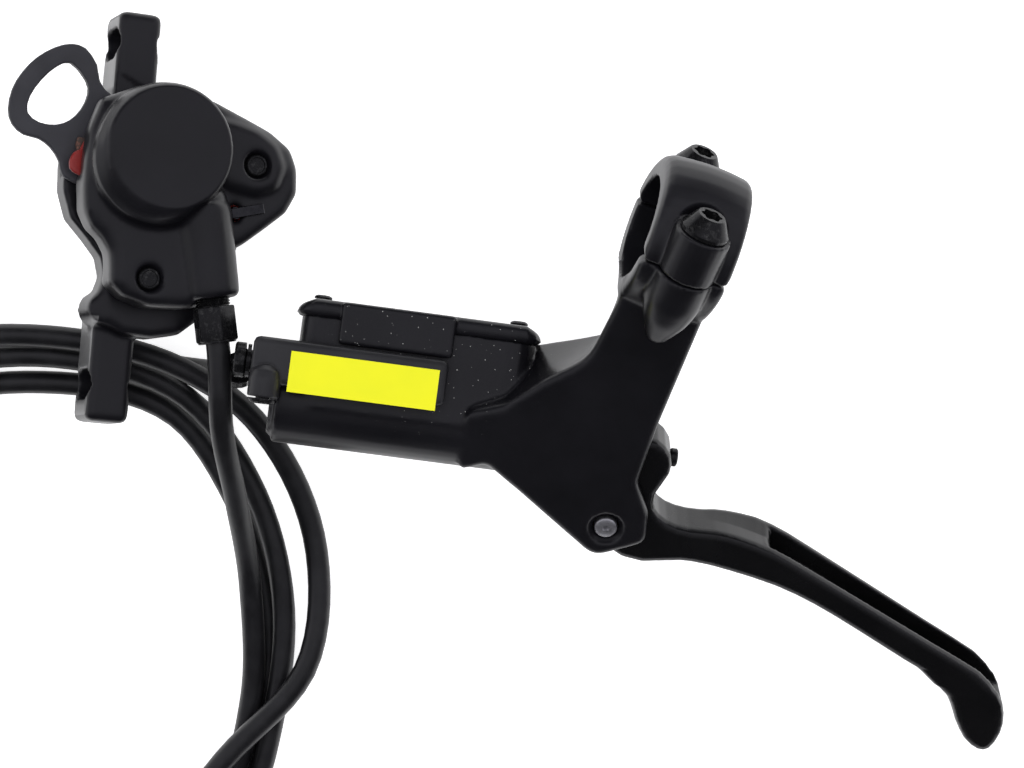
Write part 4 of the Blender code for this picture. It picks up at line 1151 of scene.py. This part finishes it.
    @staticmethod
    def socket(bolt: bmesh.types.BMesh, radius: float, top: float, deep: float) -> None:
        """Sink a lobed socket into the top of a bolt.

        Args:
            bolt: The bolt along Z, whose flat top is a fan of faces.
            radius: The socket's outer radius.
            top: Height of the flat top.
            deep: Depth of the socket.
        """
        flat = [face for face in bolt.faces if all(abs(vert.co.z - top) < 1e-3 for vert in face.verts)]
        lid = bmesh.ops.dissolve_faces(bolt, faces=flat)["region"]
        bmesh.ops.inset_region(bolt, faces=lid, thickness=2.9 - radius, depth=0)
        rim = lid[0]
        for vert in rim.verts:
            angle = math.atan2(vert.co.y, vert.co.x)
            lobe = radius * (0.9 + 0.1 * math.cos(6 * angle))
            vert.co.x = lobe * math.cos(angle)
            vert.co.y = lobe * math.sin(angle)
        down = bmesh.ops.extrude_face_region(bolt, geom=[rim])
        verts = [item for item in down["geom"] if isinstance(item, bmesh.types.BMVert)]
        bmesh.ops.translate(bolt, verts=verts, vec=(0, 0, -deep))
        bmesh.ops.delete(bolt, geom=[rim], context="FACES_ONLY")
        bmesh.ops.recalc_face_normals(bolt, faces=bolt.faces)


@dataclass
class ReservoirUnit:
    """Reservoir cap with its skirt and screws, and the switch housing with its sticker."""

    nodes: dict[str, bpy.types.Object]
    finishes: Finishes
    cap_top: float = 21.9
    screw_at: tuple[float, float] = (-66.6, -24.2)
    screw_depth: float = -1.6
    cap_middle: ClassVar[float] = -45.65
    cap_drop: ClassVar[float] = 1.6
    sticker_size: tuple[float, float] = (31.3, 8.6)

    def build(self) -> None:
        """Make every piece of the reservoir."""
        cap = Casting("reservoir_cap", 0.28, 8, form=self.shoulders)
        cap.make(self.nodes, self.finishes.body_paint, "housing", Slot.CASTING)
        box = Casting("switch_housing", 0.25, 8)
        box.make(self.nodes, self.finishes.plastic, "housing", Slot.PLASTIC)
        for x, word in zip(self.screw_at, ("left", "right")):
            self.cap_screw(x, word)
        self.switch_screw()
        self.sticker()

    @staticmethod
    def shoulders(spot: Vector) -> Vector:
        """Slope the two ends of the cap.

        Args:
            spot: A point of the cap, in millimetres.

        Returns:
            Where it comes to lie.
        """
        local = BENCH.reservoir.inverted() @ spot
        end = share(abs(local.x - ReservoirUnit.cap_middle), 22.4, 26.0)
        local.y -= ReservoirUnit.cap_drop * end * share(local.y, 18.9, 20.5)
        return BENCH.reservoir @ local

    def cap_screw(self, x: float, word: str) -> None:
        """Pan-headed cap screw.

        Args:
            x: Its place along the cap.
            word: Its name's last word.
        """
        top = self.cap_top
        profile = [(0, top - 9), (1.2, top - 8.6), (1.2, top + 0.25), (1.9, top + 0.25), (1.95, top + 0.6),
                   (1.7, top + 0.9), (1.2, top + 1.1), (0, top + 1.15)]
        screw = lathe(profile, 40)
        place = BENCH.reservoir @ shift(x, 0, self.screw_depth) @ ALONG_Y
        piece("cap_screw_" + word + "_turned", screw, place, self.finishes.black_steel, "housing",
              ("cap_screw_" + word,))

    def switch_screw(self) -> None:
        """Screw under the switch housing's boss, with a rim round its recess."""
        foot = -0.2
        profile = [(0, foot - 0.7), (1.0, foot - 0.7), (1.3, foot - 1.3), (1.8, foot - 1.4),
                   (2.8, foot - 1.1), (3.1, foot - 0.6), (3.1, foot - 0.3), (1.5, foot - 0.3),
                   (1.5, 4.2), (0, 4.4)]
        place = BENCH.reservoir @ shift(-76.7, 0, 13.5) @ ALONG_Y
        piece("switch_screw_turned", lathe(profile, 40), place, self.finishes.black_steel, "housing",
              ("switch_screw",))

    def sticker(self) -> None:
        """Blank yellow sticker on the front of the switch housing."""
        shape = bmesh.new()
        bmesh.ops.create_grid(shape, x_segments=24, y_segments=6, size=0.5)
        bmesh.ops.scale(shape, verts=shape.verts, vec=(*self.sticker_size, 1))
        for vert in shape.verts:
            vert.co.z += 0.03 * math.sin(vert.co.x * 0.5) * math.sin(vert.co.y * 0.8 + 1)
        grown = bmesh.ops.extrude_face_region(shape, geom=list(shape.faces))
        verts = [item for item in grown["geom"] if isinstance(item, bmesh.types.BMVert)]
        bmesh.ops.translate(shape, verts=verts, vec=(0, 0, 0.12))
        bmesh.ops.recalc_face_normals(shape, faces=shape.faces)
        place = BENCH.reservoir @ shift(-56.3, 5.9, 14.42)
        piece("blank_sticker", shape, place, self.finishes.sticker, "housing", (), 30)


@dataclass
class CaliperUnit:
    """Caliper halves, mounting ears, bolts, pads and the transport spacer."""

    nodes: dict[str, bpy.types.Object]
    finishes: Finishes
    bolts: ClassVar[tuple[Point, ...]] = ((21.9, 0.0, 7.3), (-0.2, -27.0, 10.2))
    disc_top: ClassVar[float] = 17.0
    disc_draw: ClassVar[float] = -0.55
    flange_side: ClassVar[float] = -13.0
    pad_reach: ClassVar[float] = 11.2
    tab_reach: ClassVar[float] = 2.3

    def build(self) -> None:
        """Make every piece of the caliper."""
        caliper = BENCH.caliper
        cones = (Cone(BENCH.port, -22.0, -3.0, 6.1, 5.6),
                 Cone(caliper @ shift(-0.9, -2.0, 0), 8.5, 16.0, 14.9, 12.8))
        blends = (Blend(caliper, (0.0, -14.0, 8.5), (26.0, 22.0, 7.4), 60),
                  Blend(caliper, (20.0, 2.0, 6.0), (16.0, 14.0, 6.0), 60),
                  Blend(caliper, (-8.0, -8.0, 16.5), (13.0, 13.0, 5.0), 50))
        outer = Casting("caliper_outer_half", 0.36, 26, grow=0.35, cones=cones, blends=blends, form=self.disc)
        outer.make(self.nodes, self.finishes.paint, "housing", Slot.CASTING)
        lug = (Cone(caliper @ shift(-6.9, -33.4, 0), -9.5, -1.0, 3.9, 3.3),)
        neck = (Blend(caliper, (-9.0, -33.0, -3.0), (9.0, 9.0, 7.0), 40),)
        inner = Casting("caliper_inner_half", 0.42, 10, cones=lug, blends=neck)
        inner.make(self.nodes, self.finishes.ear_paint, "housing", Slot.CASTING)
        spacer = Casting("pad_spacer", 0.25, 4)
        spacer.make(self.nodes, self.finishes.spacer, "housing", Slot.PLASTIC)
        for pad in ("outer_pad", "inner_pad"):
            plate = Casting(pad + "_plate", 0.25, 1, form=self.tab)
            plate.make(self.nodes, self.finishes.red, pad, Slot.RED, 40)
            lining = Casting(pad + "_lining", 0.25, 1, form=self.shorter)
            lining.make(self.nodes, self.finishes.lining, pad, Slot.LINING, 40)
        for (x, y, top), word in zip(self.bolts, ("upper", "lower")):
            self.body_bolt(x, y, top, word)
        self.bleed_screw()

    @staticmethod
    def disc(spot: Vector) -> Vector:
        """Flatten the disc over the piston, draw in its rim and sink a ring round each bolt.

        Args:
            spot: A point of the outer half, in millimetres.

        Returns:
            Where it comes to lie.
        """
        local = BENCH.caliper.inverted() @ spot
        high = share(local.z, 13.5, 16.0)
        if high > 0:
            wider = 1 + CaliperUnit.disc_draw * high / max(math.hypot(local.x, local.y), 9.0)
            local.x = local.x * wider + 0.4 * high
            local.y = local.y * wider + 0.3 * high
            local.z = min(local.z, CaliperUnit.disc_top)
        side = CaliperUnit.flange_side
        if local.x < side and local.z < 12.0:
            local.x = side + (local.x - side) * 0.7
        for x, y, top in CaliperUnit.bolts:
            away = math.hypot(local.x - x, local.y - y)
            if away < 3.1 and local.z > top - 2.5:
                local.z -= 0.8 * share(away, 3.1, 2.6)
        return BENCH.caliper @ local

    @staticmethod
    def shorter(spot: Vector) -> Vector:
        """Keep the pads behind the housing's rounded edge.

        Args:
            spot: A point of a pad, in millimetres.

        Returns:
            Where it comes to lie.
        """
        local = BENCH.caliper.inverted() @ spot
        radius = math.hypot(local.x, local.y)
        if local.y > 2 and radius > CaliperUnit.pad_reach:
            local.x *= CaliperUnit.pad_reach / radius
            local.y *= CaliperUnit.pad_reach / radius
        return BENCH.caliper @ local

    @staticmethod
    def tab(spot: Vector) -> Vector:
        """Keep a backing plate behind the housing's edge, and draw out the tab on its left.

        Args:
            spot: A point of a plate, in millimetres.

        Returns:
            Where it comes to lie.
        """
        local = BENCH.caliper.inverted() @ CaliperUnit.shorter(spot)
        rounded = math.sqrt(max(1 - ((local.y + 6.0) / 5.0) ** 2, 0))
        local.x -= CaliperUnit.tab_reach * share(local.x, -12, -15) * rounded
        return BENCH.caliper @ local

    def body_bolt(self, x: float, y: float, top: float, word: str) -> None:
        """Body bolt whose turned end shows flush in the outer half.

        Args:
            x: Its place in the caliper frame.
            y: Its place in the caliper frame.
            top: Height of its end.
            word: Its name's last word.
        """
        profile = [(0, -10.3), (3.8, -10.3), (4.1, -10.0), (4.1, -7.8), (2.35, -7.8), (2.35, top - 0.35),
                   (2.2, top - 0.1), (2.0, top), (1.75, top), (1.6, top - 0.25), (1.3, top - 0.3),
                   (0, top - 0.3)]
        place = BENCH.caliper @ shift(x, y, 0)
        piece("body_bolt_" + word + "_turned", lathe(profile, 40), place, self.finishes.black_steel,
              "housing", ("body_bolt_" + word,))

    def bleed_screw(self) -> None:
        """Bleed screw with a socket, on the wheel's side."""
        profile = [(0, -6), (1.2, -6), (1.9, -5.2), (1.9, 0.3), (3.0, 0.3), (3.0, 1.2), (2.7, 1.6),
                   (1.3, 1.6), (1.3, 0.6), (0, 0.5)]
        place = BENCH.caliper @ shift(8.0, -30.5, -10.5) @ turn("X", 180)
        piece("bleed_screw_turned", lathe(profile, 36), place, self.finishes.black_steel, "housing",
              ("bleed_screw",))


@dataclass
class HoseUnit:
    """The coiled hose, its hex nut at the caliper and its elbow at the lever."""

    nodes: dict[str, bpy.types.Object]
    finishes: Finishes
    radius: float = 2.56
    points: int = 420
    route: tuple[Point, ...] = (
        (-64.21, 28.14, 33.2), (-63.35, 20.98, 34.37), (-62.42, 13.21, 35.65), (-62.2, -3, 34.4),
        (-60.2, -21, 25),
        (-58.5, -44.5, 11), (-59, -71, 8), (-67.5, -96.5, 8), (-90, -111, 5.8), (-116.5, -110.5, 3.6),
        (-140, -98, 3.1), (-155, -75, 3.1), (-160, -48.5, 3.1), (-152.5, -23, 3.1), (-133.5, -4, 3.1),
        (-107, 1, 3.1), (-74.6, -7.3, 3.1), (-63, -24.5, 3.1), (-55.5, -50.5, 3.1), (-57.5, -77.5, 3.1),
        (-67.5, -102, 3.1), (-90, -117, 3.1), (-116.5, -117.5, 3.1), (-141, -106, 3.1), (-157.5, -84.5, 3.1),
        (-165.5, -59, 3.1), (-163, -32.5, 3.1), (-149, -9, 4), (-126.5, 5, 7), (-100, 7.5, 8.2),
        (-72.6, -1.4, 8.2), (-58, -22, 7.6), (-51.5, -48, 7.6), (-54, -75, 7.6), (-62.5, -100.5, 7.8),
        (-82, -119, 7), (-109, -124.5, 4.6), (-135, -117.5, 3.1), (-155.5, -100, 3.1), (-168.5, -76, 3.1),
        (-172.5, -49.5, 3.1), (-166, -23.5, 3.4), (-150, -1.5, 6), (-126.5, 11, 10.2), (-100, 12.5, 11.8),
        (-72.8, 5.7, 12.8), (-59.3, -3.3, 12.4), (-53.5, -11, 10), (-44, -36, 7.2), (-46, -62, 12),
        (-64, -82.5, 14.2), (-81.5, -103, 14.4), (-105, -116, 13.6), (-131.5, -118.5, 10.8),
        (-156, -108.5, 6.6),
        (-172.5, -87.5, 3.4), (-179, -61, 3.1), (-176.5, -34.5, 3.1), (-165.5, -9.5, 3.1), (-145.5, 8.5, 3.1),
        (-119, 11, 3.1), (-92, 8.5, 3.1), (-76, 4.6, 3.1), (-66.6, 4.1, 7.5), (-61.4, 4.6, 16.6),
        (-59.15, 6.8, 25.9), (-58.68, 8.55, 29.87),
    )

    def build(self) -> None:
        """Make the hose and its fittings."""
        self.hose()
        self.nut()
        self.elbow()

    def line(self) -> list[Vector]:
        """Evenly spaced points on a smooth curve through the route.

        Returns:
            The points, in millimetres.
        """
        knots = [Vector(point) for point in self.route]
        slopes = []
        for index, knot in enumerate(knots):
            before = knots[max(index - 1, 0)]
            after = knots[min(index + 1, len(knots) - 1)]
            back, ahead = (knot - before).length, (after - knot).length
            if back == 0 or ahead == 0:
                slopes.append((after - before).normalized())
            else:
                mixed = (knot - before) / back * ahead + (after - knot) / ahead * back
                slopes.append(mixed / (back + ahead))
        dense = []
        for first, last, leaving, arriving in zip(knots, knots[1:], slopes, slopes[1:]):
            span = (last - first).length
            for step in range(24):
                t = step / 24
                starts = first * (2 * t ** 3 - 3 * t ** 2 + 1) + leaving * span * (t ** 3 - 2 * t ** 2 + t)
                ends = last * (3 * t ** 2 - 2 * t ** 3) + arriving * span * (t ** 3 - t ** 2)
                dense.append(starts + ends)
        dense.append(knots[-1])
        runs = [0.0]
        for first, last in zip(dense, dense[1:]):
            runs.append(runs[-1] + (last - first).length)
        found = []
        spot = 0
        for index in range(self.points):
            wanted = runs[-1] * index / (self.points - 1)
            while spot < len(runs) - 2 and runs[spot + 1] < wanted:
                spot += 1
            part = (wanted - runs[spot]) / (runs[spot + 1] - runs[spot])
            found.append(dense[spot].lerp(dense[spot + 1], part))
        return found

    def hose(self) -> None:
        """Hose from the caliper's nut round the coil to the lever's elbow."""
        points = [BENCH.bench @ point * MM for point in self.line()]
        curve = bpy.data.curves.new("brake_hose", "CURVE")
        curve.dimensions = "3D"
        curve.bevel_depth = self.radius * MM
        curve.bevel_resolution = 6
        curve.use_fill_caps = True
        spline = curve.splines.new("POLY")
        spline.points.add(len(points) - 1)
        for spot, point in zip(spline.points, points):
            spot.co = (*point, 1.0)
        spline.use_smooth = True
        made = bpy.data.objects.new("brake_hose", curve)
        bpy.context.scene.collection.objects.link(made)
        dress(made, self.finishes.hose, "housing", ("hose",))

    def nut(self) -> None:
        """Hex nut with chamfered corners, its threaded shank and a collar towards the hose."""
        place = BENCH.port
        nut = bevelled(bar(4.7, -0.6, 6.8, 6), 0.35, 20, 2)
        piece("hose_nut_hex", nut, place, self.finishes.black_steel, "housing",
              ("caliper_hose_nut",), 25)
        profile = [(3.05, -4.8), (3.5, -4.8)]
        height = -4.4
        while height < -0.9:
            profile += [(3.8, height), (3.45, height + 0.28)]
            height += 0.56
        profile += [(3.5, -0.58), (3.05, -0.58), (3.05, -4.8)]
        piece("hose_nut_thread", lathe(profile, 40), place, self.finishes.black_steel, "housing")
        collar = [(3.05, 6.7), (4.1, 6.7), (4.1, 7.0), (3.9, 7.2), (3.05, 7.2), (3.05, 6.7)]
        piece("hose_nut_collar", lathe(collar, 40), place, self.finishes.black_steel, "housing")

    def elbow(self) -> None:
        """Elbow fitting with its softened edges."""
        elbow = Casting("hose_elbow", 0.16, 2)
        elbow.make(self.nodes, self.finishes.black_steel, "housing", Slot.BLACK_STEEL, 40)


@dataclass
class PlainParts:
    """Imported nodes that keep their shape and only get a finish."""

    nodes: dict[str, bpy.types.Object]
    finishes: Finishes

    def build(self) -> None:
        """Dress each node that no piece stands for."""
        finishes = self.finishes
        groups = (
            (finishes.steel, ("bore_retainer", "push_rod", "pad_spring")),
            (finishes.split_pin, ("pad_pin",)),
            (finishes.black_steel, ("elbow_washer",)),
            (finishes.aluminium, ("master_piston", "outer_piston", "inner_piston")),
            (finishes.brass, ("pivot_bush_lower", "pivot_bush_upper", "caliper_olive")),
            (finishes.rubber, ("reservoir_diaphragm", "primary_cup", "secondary_cup", "outer_piston_seal",
                               "inner_piston_seal")),
        )
        for finish, names in groups:
            for name in names:
                for place in self.nodes[name].material_slots:
                    place.material = finish
                LOG.info("dressed %s", name)


# The studio


@dataclass
class Studio:
    """White bench, soft light and the camera."""

    camera_at: tuple[float, float, float] = (-0.0022, 0.12025, 0.68937)
    camera_lean: float = -10.0
    focal: float = 109.5
    glow: float = 0.8
    mirrored_glow: float = 0.5
    room_tint: Point = (0.96, 0.95, 1.06)

    def build(self) -> None:
        """Make the camera, the floor, the lamps and the world."""
        scene = bpy.context.scene
        scene.view_settings.view_transform = "Standard"
        self.camera()
        self.floor()
        self.world()
        self.lamp("back_light", (-0.35, 0.95, 0.35), (1.0, 0.3), 1.4, shows=False)
        self.lamp("left_light", (-0.95, 0.1, 0.4), (0.7, 0.4), 0.3)
        self.lamp("fill_light", (0.0, 0.2, 1.2), (1.6, 1.6), 17.0, shows=False)

    def camera(self) -> None:
        """Camera above the bench, leaning from the top of the picture."""
        data = bpy.data.cameras.new("camera")
        data.lens = self.focal
        data.sensor_width = 36.0
        data.clip_start = 0.01
        made = bpy.data.objects.new("camera", data)
        made.location = self.camera_at
        made.rotation_euler = (math.radians(self.camera_lean), 0, 0)
        bpy.context.scene.collection.objects.link(made)
        bpy.context.scene.camera = made

    def floor(self) -> None:
        """White bench top that keeps a faint shadow."""
        shape = bmesh.new()
        bmesh.ops.create_grid(shape, x_segments=1, y_segments=1, size=2.5)
        mesh = bpy.data.meshes.new("bench_top")
        shape.to_mesh(mesh)
        shape.free()
        made = bpy.data.objects.new("bench_top", mesh)
        made.location = (0, 0, -0.0003)
        bpy.context.scene.collection.objects.link(made)
        material = bpy.data.materials.new("bench_white")
        material.use_nodes = True
        tree = material.node_tree
        tree.nodes.clear()
        output = tree.nodes.new("ShaderNodeOutputMaterial")
        diffuse = tree.nodes.new("ShaderNodeBsdfDiffuse")
        diffuse.inputs["Color"].default_value = (0.86, 0.86, 0.86, 1)
        glow = tree.nodes.new("ShaderNodeEmission")
        rays = tree.nodes.new("ShaderNodeLightPath").outputs
        mirrored = combine(tree, "MULTIPLY", rays["Is Glossy Ray"], self.mirrored_glow)
        seen = combine(tree, "MAXIMUM", rays["Is Camera Ray"], mirrored)
        seen = combine(tree, "MAXIMUM", seen, rays["Is Transmission Ray"])
        tree.links.new(combine(tree, "MULTIPLY", seen, self.glow), glow.inputs["Strength"])
        both = tree.nodes.new("ShaderNodeAddShader")
        tree.links.new(diffuse.outputs["BSDF"], both.inputs[0])
        tree.links.new(glow.outputs["Emission"], both.inputs[1])
        tree.links.new(both.outputs["Shader"], output.inputs["Surface"])
        mesh.materials.append(material)

    def world(self) -> None:
        """Room with bright sides that is dim overhead and dark towards the viewer."""
        world = bpy.data.worlds.new("studio")
        bpy.context.scene.world = world
        world.use_nodes = True
        tree = world.node_tree
        background = tree.nodes["Background"]
        coords = tree.nodes.new("ShaderNodeTexCoord")
        split = tree.nodes.new("ShaderNodeSeparateXYZ")
        tree.links.new(coords.outputs["Generated"], split.inputs["Vector"])
        rise = map_range(tree, split.outputs["Z"], (0.0, 0.12), (1.1, 0.0), soft=True)
        near = map_range(tree, split.outputs["Y"], (-0.55, 0.3), (0.055, 0.5), soft=True)
        beyond = map_range(tree, split.outputs["Y"], (0.48, 0.72), (1.0, 0.1), soft=True)
        side = combine(tree, "MULTIPLY", near, beyond)
        tree.links.new(combine(tree, "MAXIMUM", rise, side), background.inputs["Strength"])
        background.inputs["Color"].default_value = (*self.room_tint, 1)

    @staticmethod
    def lamp(name: str, at: tuple[float, float, float], size: tuple[float, float], power: float,
             shows: bool = True) -> None:
        """Soft rectangular lamp aimed at the brake.

        Args:
            name: The lamp's name.
            at: Where it stands, in metres.
            size: Its width and height, in metres.
            power: Its power in watts.
            shows: Whether glossy surfaces mirror it.
        """
        data = bpy.data.lights.new(name, "AREA")
        data.shape = "RECTANGLE"
        data.size, data.size_y = size
        data.energy = power
        made = bpy.data.objects.new(name, data)
        made.location = at
        made.rotation_euler = (-Vector(at)).to_track_quat("-Z", "Y").to_euler()
        made.visible_glossy = shows
        bpy.context.scene.collection.objects.link(made)


def main() -> None:
    """Build the brake and its studio."""
    logging.basicConfig(level=logging.INFO, format="%(message)s")
    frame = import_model()
    nodes = frame["nodes"]
    Studio().build()
    finishes = Finishes()
    HoseUnit(nodes, finishes).build()
    LeverUnit(nodes, finishes).build()
    ReservoirUnit(nodes, finishes).build()
    CaliperUnit(nodes, finishes).build()
    PlainParts(nodes, finishes).build()


if __name__ == "__main__":
    main()
